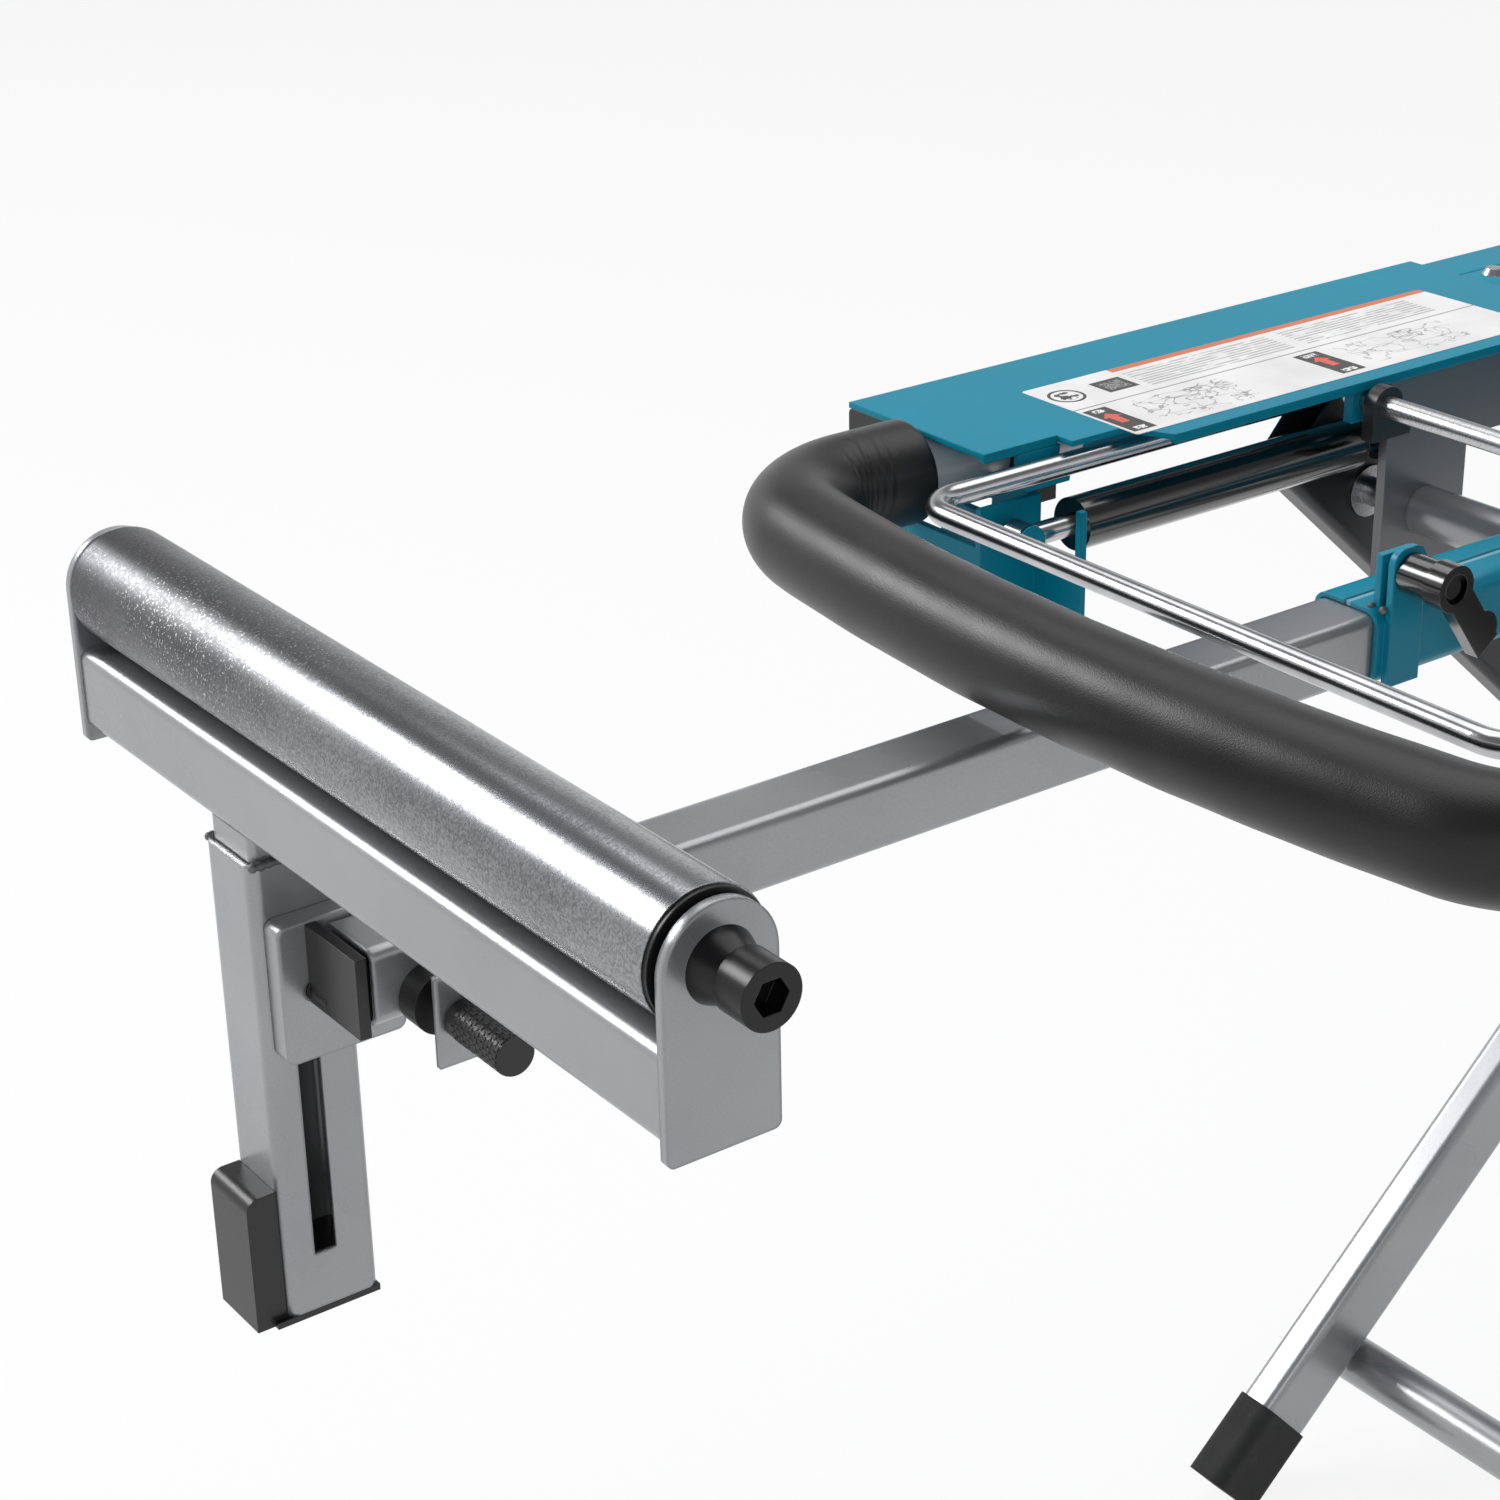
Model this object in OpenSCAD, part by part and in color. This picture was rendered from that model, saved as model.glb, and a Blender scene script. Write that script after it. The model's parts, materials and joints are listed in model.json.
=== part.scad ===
// Folding miter saw stand: two side rails on scissor legs with wheels, a pull handle with a
// foam grip, a release bail, two telescoping arms with height-adjustable support rollers,
// and two sliding saw brackets. Millimetres, +Z up, origin on the floor under the middle.
// The handle end is -X. Both extension arms are drawn out.

/* [Frame] */
// Height of the top plates above the floor
work_height = 795; // [700:5:900]
// Length of the side rails
rail_length = 1320; // [1300:5:1380]
// Width over the two side rails
frame_width = 616; // [600:2:640]
// Width of one rail tube
rail_w = 33; // [28:1:36]
// Height of one rail tube
rail_h = 46; // [42:1:50]
// Wall of the rail tubes
rail_wall = 2; // [1.5:0.5:3]
// Thickness of the top plates
plate_t = 3; // [2:0.5:4]
// Length of the top plates along the rails
plate_length = 425; // [400:5:450]
// Width of a top plate, rail included
plate_w = 147; // [140:1:150]
// Height of the folded lip on a top plate
plate_lip = 5; // [4.5:0.5:8]
// Width of one cross beam along the rails
beam_w = 60; // [50:1:70]
// Height of the cross beams
beam_h = 38; // [34:1:40]
// Length of a top plate's end that rests on its cross beam
plate_rest = 5; // [3:0.5:15]

/* [Extension arms] */
// Width of the square arm tube
arm_w = 36; // [32:1:38]
// Height of the arm tube
arm_h = 34; // [32:1:36]
// Wall of the arm tube
arm_wall = 2; // [1.5:0.5:3]
// Outside corner radius of the arm tube
arm_corner = 5; // [4:0.5:7]
// Full length of one arm tube
arm_length = 780; // [740:10:820]
// Clear length of arm between its post and its sleeve
arm_reach = 540; // [520:5:560]
// Distance between the two arm centres
arm_spacing = 94; // [90:1:104]
// Drop of the arm's top face below the top plates
arm_drop = 60; // [58:1:62]
// Length of one arm sleeve
sleeve_length = 900; // [850:10:920]
// Wall of the sleeves
sleeve_wall = 2.5; // [2:0.5:3.5]
// Distance from the rail ends to a sleeve's mouth
sleeve_setback = 104; // [100:1:110]

/* [Roller support] */
// Outside diameter of the support roller
roller_d = 50; // [46:1:50]
// Wall of the roller tube
roller_wall = 1.5; // [1:0.5:2.5]
// Length over the two roller end plates
roller_span = 436; // [412:4:452]
// Distance of the roller's middle from the stand's centre line, toward its post
roller_shift = 6; // [0:1:10]
// Width of an end plate
end_plate_w = 46; // [44:1:50]
// Thickness of an end plate
end_plate_t = 4; // [3:0.5:5]
// Height of the roller axis above the bottom of the end plates
roller_rise = 68; // [68:1:74]
// Width of the bar under the roller
bar_w = 44; // [40:1:44]
// Height of the bar under the roller
bar_h = 36; // [32:1:36]
// Wall of the bar
bar_wall = 2; // [1.5:0.5:3]
// Diameter of the roller axle screws
axle_screw_d = 10; // [8:1:12]
// Length of one height-adjusting post
post_length = 211; // [200:1:230]
// Size of the post along the arm
post_w = 43; // [40:1:46]
// Size of the post across the arm
post_depth = 38; // [36:1:42]
// Wall of the post
post_wall = 2; // [1.5:0.5:3]
// Width of the slot in the post
post_slot_w = 10.5; // [9:0.5:12]
// Length of the slot in the post
post_slot_length = 140; // [120:1:145]

/* [Legs] */
// Distance from a leg's end pivot to the scissor pin
leg_half = 501; // [495:1:505]
// Angle of the open legs to the floor
leg_angle = 42; // [41:0.5:43]
// Depth of a wheel leg tube
wheel_leg_d = 60; // [50:1:62]
// Depth of a foot leg tube
foot_leg_d = 50; // [44:1:54]
// Thickness of the leg tubes
leg_t = 25; // [20:1:25]
// Corner radius of the leg tubes
leg_corner = 6; // [4:1:9]
// Drop of the leg pivots below the top plates
pivot_drop = 85; // [83:1:87]
// Diameter of the wheels
wheel_d = 200; // [180:2:210]
// Width of the wheels
wheel_w = 40; // [34:1:44]
// Diameter of the wheel axle
axle_d = 16; // [12:1:18]

/* [Handle and bail] */
// Diameter of the steel handle tube
handle_d = 38; // [34:1:40]
// Diameter over the foam grip
grip_d = 55; // [50:1:57]
// Distance from the rail ends to the front of the handle
handle_reach = 121; // [116:1:130]
// Distance from a rail's inner face to the middle of the handle's leg
handle_inset = 21; // [20:0.5:23]
// Centreline radius of the handle's corners
handle_corner_r = 61; // [56:1:70]
// Centreline radius of the handle's bowed front
handle_bow_r = 1260; // [1000:20:1600]
// Diameter of the release bail's wire
bail_d = 12; // [9:0.5:12]
// Distance from a top plate's inner edge to the middle of the bail's leg
bail_inset = 29; // [27:0.5:31]
// Distance from the rail ends to the bail's front, inward negative
bail_reach = 48; // [40:1:52]

/* [Gas strut] */
// Diameter of the strut's cylinder
strut_d = 28; // [22:1:28]
// Diameter of the strut's rod
strut_rod_d = 12; // [8:1:14]

/* [Saw brackets] */
// Width of a saw bracket
bracket_w = 64; // [56:2:70]
// Height of a saw bracket
bracket_h = 40; // [34:1:46]
// Distance between the two saw brackets
bracket_spacing = 340; // [320:10:400]
// Diameter of the saw mounting holes
saw_hole_d = 9; // [8:0.5:11]
// Distance between the two saw mounting holes of a bracket
saw_hole_spacing = 400; // [300:10:440]

/* [Hidden] */
$fn = 48;

// Clearances and overruns
cut = 1;
slide_fit = 0.5;
seat_gap = 0.3;
pin_fit = 0.1;
turn_gap = 1;

// Colours as on the real stand
teal = "#0e7f97";
silver = "#a7a9ab";
zinc = "#c9cbcd";
dark_steel = "#3b3c3e";
grey_steel = "#7d7f81";
black = "#1a1a1b";

// Rails and plates
rail_top = work_height - plate_t;
rail_mid_z = rail_top - rail_h / 2;
rail_bottom = rail_top - rail_h;
rail_mid_y = frame_width / 2 - rail_w / 2;
rail_inner_y = frame_width / 2 - rail_w;
rail_end = rail_length / 2;
rail_corner = 3;
plate_inner_y = frame_width / 2 - plate_w;
plate_notch_x = 95;
plate_front_w = 110;
plate_step_x = 48;
plate_step_y = 12;
cap_t = 4;
cap_plug = 18;
cap_fit = 0.2;

// Cross beams and the hangers under them
beam_wall = 2;
beam_top = rail_top;
beam_bottom = beam_top - beam_h;
beam_offset = rail_end - plate_length - beam_w / 2 + plate_rest;

// Extension arms
arm_mid_y = arm_spacing / 2;
arm_mid_z = work_height - arm_drop - arm_h / 2;
sleeve_mouth = rail_end - sleeve_setback;
sleeve_w = arm_w + 2 * (slide_fit + sleeve_wall);
sleeve_h = arm_h + 2 * (slide_fit + sleeve_wall);
sleeve_corner = arm_corner + slide_fit + sleeve_wall;
ear_t = 4;
ear_w = 22;
ear_setback = 5;
ear_up = 31;
ear_gap = 4;
ear_corner = 8;
clamp_up = 18;
clamp_screw_d = 8;
clamp_boss_d = 21;
clamp_boss_length = 18;
clamp_hub_d = 24;
clamp_hub_length = 11;
clamp_recess_d = 15;
clamp_recess_depth = 5;
clamp_head_d = 11;
clamp_head_t = 3;
clamp_lever_length = 44;
clamp_lever_w = 16;
clamp_lever_t = 8;
clamp_lever_angle = 54;
clamp_tip_d = 20;
clamp_gap = 0.6;

// Post, saddle and what clamps them; x runs inward from the post's outer face
post_x = sleeve_mouth + arm_reach + post_w;
saddle_depth = 10.7;
saddle_t = 3;
saddle_length = 55;
saddle_h = 62;
saddle_inset = 4;
saddle_corner = 4;
post_near_y = arm_mid_y + arm_w / 2 + saddle_depth + seat_gap;
post_mid_y = post_near_y + post_depth / 2;
post_corner = 5;
end_plate_rise = 30;
end_plate_z = work_height - arm_drop + end_plate_rise;
bar_lift = 6;
bar_bottom_z = end_plate_z + bar_lift;
post_top_drop = 4;
post_top = end_plate_z - post_top_drop;
post_bottom = post_top - post_length;
stud_x = 19;
stud_drop = 59;
stud_z = end_plate_z - stud_drop;
stud_d = 8;
stud_nut_t = 6;
stud_nut_d = 18;
stud_hole = stud_d + 2 * seat_gap;
slot_top = stud_z + post_slot_w;
spigot_gap = 0.6;
spigot_length = 48;
spigot_wall = 2.5;
stop_out = 14;
stop_h = 64;
stop_t = 3;
stop_corner = 6;
knob_hub_d = 12;
knob_hub_length = 13;
paddle_t = 5;
paddle_w = 40;
paddle_up = 30;
paddle_down = 5;
arm_start = stud_x + knob_hub_d / 2 + turn_gap;

// Pull pin on the arm's near face
pull_x = 50;
pull_z_drop = 55;
pull_z = end_plate_z - pull_z_drop;
pull_base_d = 27;
pull_base_t = 12;
pull_bracket_t = 3;
pull_bracket_out = 26;
pull_bracket_w = 34;
pull_bracket_lead = 11;
pull_bracket_h = 40;
pull_pin_d = 8;
pull_grip_d = 17;
pull_grip_length = 38;
pull_gap = 1;

// Roller assembly
roller_axis_z = end_plate_z + roller_rise;
roller_mid_x = end_plate_w / 2;
end_plate_corner = 3;
cap_dish_t = 7;
cap_rim = 3;
cap_side_gap = 3;
roller_cap_lip = 2;
spacer_d = 28;
spacer_tip_d = 19;
spacer_t = 12;
screw_head_d = 24;
screw_head_t = 15;
hex_d = 14;
hex_depth = 8;
axle_nut_d = 20;
axle_nut_t = 6;
bushing_length = 14;

// Legs: the wheel legs hang inside the foot legs
leg_drop_x = leg_half * cos(leg_angle);
leg_drop_z = leg_half * sin(leg_angle);
pivot_z = work_height - pivot_drop;
scissor_z = pivot_z - leg_drop_z;
leg_gap = 3;
track_gap = 1;
track_depth = 17;
foot_leg_y = rail_inner_y - track_depth - track_gap - leg_t / 2;
wheel_leg_y = foot_leg_y - leg_t - leg_gap;
leg_wall = 2;
leg_horn = 66;
wheel_leg_tail = 30;
hinge_pin_d = 16;
scissor_pin_d = 14;
washer_t = 1.2;
washer_d = 30;
leg_tube_d = 28;
leg_tube_wall = 2.5;
leg_bracket_t = 6;
leg_bracket_w = 64;
leg_bracket_y = plate_inner_y + plate_t;
leg_bracket_drop = 47;
leg_bracket_corner = 12;
leg_bracket_wing = 62;
leg_bracket_wing_h = 46;
horn_top_drop = 22;

// Track for the sliding top ends of the foot legs
track_wall = 3;
slide_roller_d = 24;
slide_roller_w = 14;
slide_pin_d = 12;
track_lead = 36;
track_start = leg_drop_x - track_lead;
track_end = 2 * leg_half - leg_drop_x + slide_roller_d / 2 + 2 * track_wall;
track_web = 3;

// Wheels and axle
axle_offset = 50;
axle_along = (scissor_z - axle_offset * cos(leg_angle) - wheel_d / 2) / sin(leg_angle);
axle_x = axle_along * cos(leg_angle) - axle_offset * sin(leg_angle);
axle_z = wheel_d / 2;
wheel_gap = 6;
wheel_mid_y = frame_width / 2 + wheel_gap + wheel_w / 2;
tyre_depth = 24;
tyre_shoulder = 8;
rim_t = 6;
wheel_hub_d = 46;
spoke_count = 6;
spoke_w = 14;
spoke_t = 10;
axle_cap_t = 6;
axle_cap_d = 28;
axle_lug_t = 6;
wheel_leg_lower = axle_along + wheel_leg_tail;

// Foot legs
foot_tube_d = 32;
foot_tube_wall = 2.5;
foot_tube_along = 420;
foot_tube_room = 8;
foot_tube_offset = foot_leg_d / 2 + foot_tube_room + foot_tube_d / 2;
foot_lug_t = 6;
boot_wall = 2.5;
boot_length = 60;
boot_overrun = 15;
boot_end = (scissor_z - (foot_leg_d / 2 + boot_wall) * cos(leg_angle)) / sin(leg_angle) + boot_overrun;
foot_leg_lower = boot_end - boot_overrun - boot_wall;

// Handle
handle_z = rail_top - handle_d / 2 - seat_gap;
handle_y = rail_inner_y - handle_inset;
handle_front = rail_end + handle_reach;
handle_wall = 1.5;
handle_seam = 0.1;
corner_mid_y = handle_y - handle_corner_r;
bow_mid_x = handle_front - handle_bow_r;
corner_mid_x = bow_mid_x + sqrt(pow(handle_bow_r - handle_corner_r, 2) - pow(corner_mid_y, 2));
bow_half_angle = atan2(corner_mid_y, corner_mid_x - bow_mid_x);
handle_overlap = 100;
handle_inner_x = rail_end - handle_overlap;
grip_gap = 4;
grip_end_x = rail_end + grip_gap;
grip_fit = 0.2;
clamp_block_l = 26;
clamp_block_inset = 62;
clamp_block_x = rail_end - clamp_block_inset;
clamp_block_wall = 7;

// Release bail, its guides and the latch
bail_drop = 10;
bail_z = rail_top - bail_drop;
bail_front = rail_end + bail_reach;
bail_y = plate_inner_y + bail_inset;
bail_corner_r = 22;
bail_stop_short = 62;
bail_inner_x = leg_drop_x + bail_stop_short;
guide_t = 6;
guide_length = 28;
guide_point = 10;
guide_shelf_w = 20;
guide_shelf_t = 3;
lug_w = 22;
guide_fit = 0.4;
guide_inset = 22;
guide_x = rail_end - guide_inset;
latch_shaft_d = 12;
latch_lead = 50;
latch_x = leg_drop_x + latch_lead;
latch_z = work_height - plate_lip - turn_gap - latch_shaft_d / 2;
hook_t = 8;
hook_y = plate_inner_y - hook_t - turn_gap / 2;
hook_reach = 18;
hook_w = 22;
hook_notch = 9;
hook_lip = 7;

// Gas strut: it runs from the strut bracket to the horn of the far wheel leg
strut_leg_gap = 5;
strut_inset = 14;
strut_drop = 44;
strut_lead = 22;
strut_y = wheel_leg_y - leg_t / 2 - strut_leg_gap - strut_d / 2;
strut_fixed_x = -(rail_end - strut_inset);
strut_fixed_z = work_height - strut_drop;
strut_moving_x = -(leg_drop_x + strut_lead);
strut_moving_z = strut_fixed_z;
strut_slope = atan2(strut_moving_z - strut_fixed_z, strut_moving_x - strut_fixed_x);
strut_run = norm([strut_moving_x - strut_fixed_x, strut_moving_z - strut_fixed_z]);
strut_eye_d = 18;
strut_moving_eye_d = 22;
strut_eye_w = 12;
strut_pin_d = 8;
strut_open_gap = 3.5;
strut_rod_out = 34;
strut_rod_in = 50;
strut_rod_room = 80;
strut_end_gap = 16;
sb_plate_t = 4;
sb_depth = 40;
sb_drop = 105;
sb_foot = 10;
sb_near_y = 20;
sb_window_room = 7;
sb_window = strut_d + 2 * sb_window_room;

// Bolts through the ends of the handle-side cross beam; a saw bracket slides over the other
bolt_head_d = 14;
bolt_top_d = 9;
bolt_head_t = 4;
bolt_inset = 10;

// Saw brackets and their levers
bracket_wall = 2.5;
bracket_bottom = rail_top + seat_gap;
bracket_mid_x = 130;
hook_drop = 22;
hook_gap = 1.5;
hook_wall = 3;
lever_pin_d = 8;
lever_length = 95;
lever_w = 22;
lever_t = 8;
lever_hub_d = 20;

// Shared shapes

module rounded(w, h, r) {
  square([w - 2 * r, h], center = true);
  square([w, h - 2 * r], center = true);
  for (sx = [-1, 1], sy = [-1, 1])
    translate([sx * (w / 2 - r), sy * (h / 2 - r)])
      circle(r = r);
}

module ring_section(w, h, r, t) {
  difference() {
    rounded(w, h, r);
    rounded(w - 2 * t, h - 2 * t, max(r - t, r / 2));
  }
}

// Extrudes a Y-Z outline along +X
module along_x(length) {
  rotate([90, 0, 90])
    linear_extrude(length)
      children();
}

// Extrudes an X-Z outline along +Y
module along_y(length) {
  translate([0, length, 0])
    rotate([90, 0, 0])
      linear_extrude(length)
        children();
}

module rod_x(d, length) {
  rotate([0, 90, 0])
    cylinder(d = d, h = length);
}

// A cylinder along Y, centred on its middle
module rod_y(d, length) {
  rotate([90, 0, 0])
    cylinder(d = d, h = length, center = true);
}

module both_sides() {
  children();
  mirror([0, 1, 0])
    children();
}

// Places a shape made in a leg's own frame: x runs down the leg from the scissor pin
module wheel_leg_frame() {
  translate([0, 0, scissor_z])
    rotate([0, leg_angle, 0])
      children();
}

module foot_leg_frame() {
  translate([0, 0, scissor_z])
    rotate([0, 180 - leg_angle, 0])
      children();
}

module turned() {
  rotate([0, 0, 180])
    children();
}

// Frame

module side_rails() color(teal) {
  both_sides()
    translate([-rail_end + cap_t, rail_mid_y, rail_mid_z])
      along_x(rail_length - 2 * cap_t)
        ring_section(rail_w, rail_h, rail_corner, rail_wall);
}

// The near corner of a plate is stepped back where the bail passes under it
module plate_outline() {
  far_y = frame_width / 2;
  front_y = far_y - plate_front_w;
  polygon([[-rail_end, far_y],
           [-rail_end, front_y],
           [-rail_end + plate_step_x, front_y],
           [-rail_end + plate_step_x, front_y - plate_step_y],
           [-rail_end + plate_notch_x - plate_step_y, front_y - plate_step_y],
           [-rail_end + plate_notch_x, plate_inner_y],
           [-rail_end + plate_length, plate_inner_y],
           [-rail_end + plate_length, far_y]]);
}

module top_plates() color(teal) {
  lip_x = -rail_end + plate_notch_x;
  both_sides() {
    translate([0, 0, rail_top])
      linear_extrude(plate_t)
        plate_outline();
    translate([lip_x, plate_inner_y, work_height - plate_lip])
      cube([plate_length - plate_rest - seat_gap - plate_notch_x, plate_t, plate_lip]);
    translate([-rail_end, frame_width / 2 - plate_front_w, work_height - plate_lip])
      cube([plate_step_x, plate_t, plate_lip]);
  }
}

module rail_caps() color(black) {
  for (side = [0, 180])
    rotate([0, 0, side])
      both_sides()
        translate([-rail_end, rail_mid_y, rail_mid_z]) {
          along_x(cap_t)
            rounded(rail_w, rail_h, rail_corner);
          translate([cap_t, 0, 0])
            along_x(cap_plug)
              rounded(rail_w - 2 * (rail_wall + cap_fit), rail_h - 2 * (rail_wall + cap_fit), rail_corner / 2);
        }
}

module cross_beams() color(teal) {
  hanger_h = beam_bottom - (arm_mid_z + sleeve_h / 2);
  for (side = [-1, 1])
    translate([side * beam_offset, 0, 0]) {
      translate([0, -rail_inner_y, beam_top - beam_h / 2])
        along_y(2 * rail_inner_y)
          ring_section(beam_w, beam_h, rail_corner, beam_wall);
      for (arm_side = [-1, 1])
        translate([-beam_w / 2, arm_side * arm_mid_y - sleeve_w / 2 + sleeve_corner, beam_bottom - hanger_h])
          cube([beam_w, sleeve_w - 2 * sleeve_corner, hanger_h]);
    }
}

// Sleeve with its mouth toward -X, on the +Y side of the middle
module arm_sleeve() {
  mouth = -sleeve_mouth;
  near_y = -sleeve_w / 2;
  ear_top = sleeve_h / 2 + ear_up;
  translate([0, arm_mid_y, arm_mid_z]) {
    translate([mouth, 0, 0])
      along_x(sleeve_length)
        ring_section(sleeve_w, sleeve_h, sleeve_corner, sleeve_wall);
    // Near ear: a plate on the sleeve's side that stands up past its top
    translate([mouth + ear_setback, near_y - ear_t, 0])
      difference() {
        union() {
          translate([0, 0, -sleeve_h / 2])
            cube([ear_w, ear_t, ear_top + sleeve_h / 2 - ear_corner]);
          translate([ear_corner, 0, ear_top - ear_corner])
            cube([ear_w - 2 * ear_corner, ear_t, ear_corner]);
          for (x = [ear_corner, ear_w - ear_corner])
            translate([x, ear_t / 2, ear_top - ear_corner])
              rod_y(2 * ear_corner, ear_t);
        }
        translate([ear_w / 2, ear_t / 2, sleeve_h / 2 + clamp_up])
          rod_y(clamp_screw_d + 2 * slide_fit, ear_t + 2 * cut);
      }
    // Far ear close behind it on the sleeve's top, tapped for the clamp screw
    translate([mouth + ear_setback, near_y + ear_gap, sleeve_h / 2 - sleeve_wall / 2])
      difference() {
        cube([ear_w, ear_t, ear_up + sleeve_wall / 2 - ear_corner / 2]);
        translate([ear_w / 2, ear_t / 2, clamp_up + sleeve_wall / 2])
          rod_y(clamp_screw_d + 2 * pin_fit, ear_t + 2 * cut);
      }
  }
}

module left_arm_sleeve() color(teal) arm_sleeve();

module right_arm_sleeve() color(teal) turned() arm_sleeve();

// Handle: legs, corners and a bowed front with a fine seam between them, shared by tube and grip

module handle_run(d, leg_start, wall) {
  module section() {
    difference() {
      circle(d = d);
      circle(d = d - 2 * wall);
    }
  }
  leg_length = corner_mid_x - leg_start - handle_seam;
  bow_angle = bow_half_angle - handle_seam / handle_bow_r * 180 / PI;
  translate([-bow_mid_x, 0, handle_z])
    rotate([0, 0, 180 - bow_angle])
      rotate_extrude(angle = 2 * bow_angle)
        translate([handle_bow_r, 0])
          section();
  both_sides() {
    translate([-corner_mid_x, corner_mid_y, handle_z])
      rotate([0, 0, 90])
        rotate_extrude(angle = 90 - bow_half_angle)
          translate([handle_corner_r, 0])
            section();
    translate([-corner_mid_x + handle_seam, handle_y, handle_z])
      rotate([0, 90, 0])
        linear_extrude(leg_length)
          section();
  }
}

module handle_tube() color(silver) handle_run(handle_d, handle_inner_x, handle_wall);

module handle_grip() color(black)
  handle_run(grip_d, grip_end_x, (grip_d - handle_d) / 2 - grip_fit);

module handle_clamps() color(black) {
  block_top = rail_top;
  block_bottom = handle_z - handle_d / 2 - clamp_block_wall;
  block_near = handle_y - handle_d / 2 - clamp_block_wall;
  both_sides()
    difference() {
      translate([-clamp_block_x - clamp_block_l / 2, block_near, block_bottom])
        cube([clamp_block_l, rail_inner_y - block_near, block_top - block_bottom]);
      translate([-clamp_block_x - clamp_block_l, handle_y, handle_z])
        rod_x(handle_d + 2 * pin_fit, 2 * clamp_block_l);
    }
}

// Bracket at the rail's end that holds the fixed end of the gas strut: a front plate under
// the handle, a side wall with the strut's pin, and a back plate with a window for the strut
module strut_bracket() color(teal) {
  wall_y = strut_y + strut_d / 2 + turn_gap;
  near_y = strut_y - sb_near_y;
  front_top = handle_z - grip_d / 2 - turn_gap;
  back_top = strut_fixed_z + strut_d / 2;
  bottom = work_height - sb_drop;
  back_x = -rail_end + sb_depth - sb_plate_t;
  pin_start = strut_y - strut_eye_w / 2 - turn_gap;
  window_near = near_y + sb_plate_t;
  difference() {
    union() {
      translate([-rail_end, wall_y, bottom])
        cube([sb_plate_t, rail_inner_y - wall_y, front_top - bottom]);
      translate([-rail_end, wall_y, bottom - sb_foot])
        cube([sb_depth, sb_plate_t, back_top - bottom + sb_foot]);
      translate([back_x, near_y, bottom - sb_foot])
        cube([sb_plate_t, rail_inner_y - near_y, back_top - bottom + sb_foot]);
      translate([strut_fixed_x, (pin_start + wall_y) / 2, strut_fixed_z])
        rod_y(strut_pin_d, wall_y - pin_start + cut);
      translate([strut_fixed_x, pin_start - washer_t / 2, strut_fixed_z])
        rod_y(strut_eye_d - 2 * seat_gap, washer_t);
    }
    translate([back_x - cut, window_near, strut_fixed_z - sb_window / 2])
      cube([sb_plate_t + 2 * cut, wall_y - window_near, sb_window + cut]);
    translate([back_x - cut, handle_y - handle_d / 2 - turn_gap, front_top])
      cube([sb_plate_t + 2 * cut, rail_inner_y, work_height]);
  }
}

// Grey brackets that hang from the top plates and carry the leg tube
module leg_brackets() color(grey_steel) {
  bottom = pivot_z - leg_bracket_drop;
  both_sides()
    difference() {
      union() {
        translate([-leg_drop_x, leg_bracket_y, rail_top - leg_bracket_wing_h])
          cube([leg_bracket_w / 2 + leg_bracket_wing, leg_bracket_t, leg_bracket_wing_h]);
        translate([-leg_drop_x - leg_bracket_w / 2, leg_bracket_y, bottom + leg_bracket_corner])
          cube([leg_bracket_w, leg_bracket_t, rail_top - bottom - leg_bracket_corner]);
        translate([-leg_drop_x - leg_bracket_w / 2 + leg_bracket_corner, leg_bracket_y, bottom])
          cube([leg_bracket_w - 2 * leg_bracket_corner, leg_bracket_t, leg_bracket_corner]);
        for (sx = [-1, 1])
          translate([-leg_drop_x + sx * (leg_bracket_w / 2 - leg_bracket_corner),
                     leg_bracket_y + leg_bracket_t / 2, bottom + leg_bracket_corner])
            rod_y(2 * leg_bracket_corner, leg_bracket_t);
      }
      translate([-leg_drop_x, leg_bracket_y + leg_bracket_t / 2, pivot_z])
        rod_y(hinge_pin_d, leg_bracket_t + 2 * cut);
    }
}

// The tube between the brackets is cut where the left sleeve crosses it
module leg_tube() color(silver) {
  sleeve_side = sleeve_w / 2;
  difference() {
    translate([-leg_drop_x, 0, pivot_z])
      rod_y(leg_tube_d, 2 * leg_bracket_y);
    translate([-leg_drop_x, 0, pivot_z])
      rod_y(leg_tube_d - 2 * leg_tube_wall, 2 * leg_bracket_y + 2 * cut);
    translate([-leg_drop_x - leg_tube_d, arm_mid_y - sleeve_side, pivot_z - leg_tube_d])
      cube([2 * leg_tube_d, 2 * sleeve_side, 2 * leg_tube_d]);
  }
}

// The pins end flush with the wheel legs, because the folded foot legs pass close by
module hinge_pins() color(zinc) {
  inner = leg_bracket_y;
  outer = wheel_leg_y + leg_t / 2;
  both_sides()
    translate([-leg_drop_x, inner, pivot_z]) {
      translate([0, (outer - inner) / 2, 0])
        rod_y(hinge_pin_d, outer - inner);
      translate([0, outer - leg_t - seat_gap - washer_t / 2 - inner, 0])
        rod_y(washer_d, washer_t);
    }
}

module slide_tracks() color(dark_steel) {
  inside = slide_roller_d + 2 * slide_fit;
  outside = inside + 2 * track_wall;
  length = track_end - track_start;
  top_fill = rail_bottom + 2 * track_wall - (pivot_z + outside / 2);
  both_sides()
    translate([track_start, rail_inner_y - track_depth, pivot_z]) {
      for (side = [-1, 1])
        translate([0, 0, side * (inside + track_wall) / 2 - track_wall / 2])
          cube([length, track_depth, track_wall]);
      translate([0, track_depth - track_web, -outside / 2])
        cube([length, track_web, outside + max(top_fill, track_wall)]);
    }
}

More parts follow.
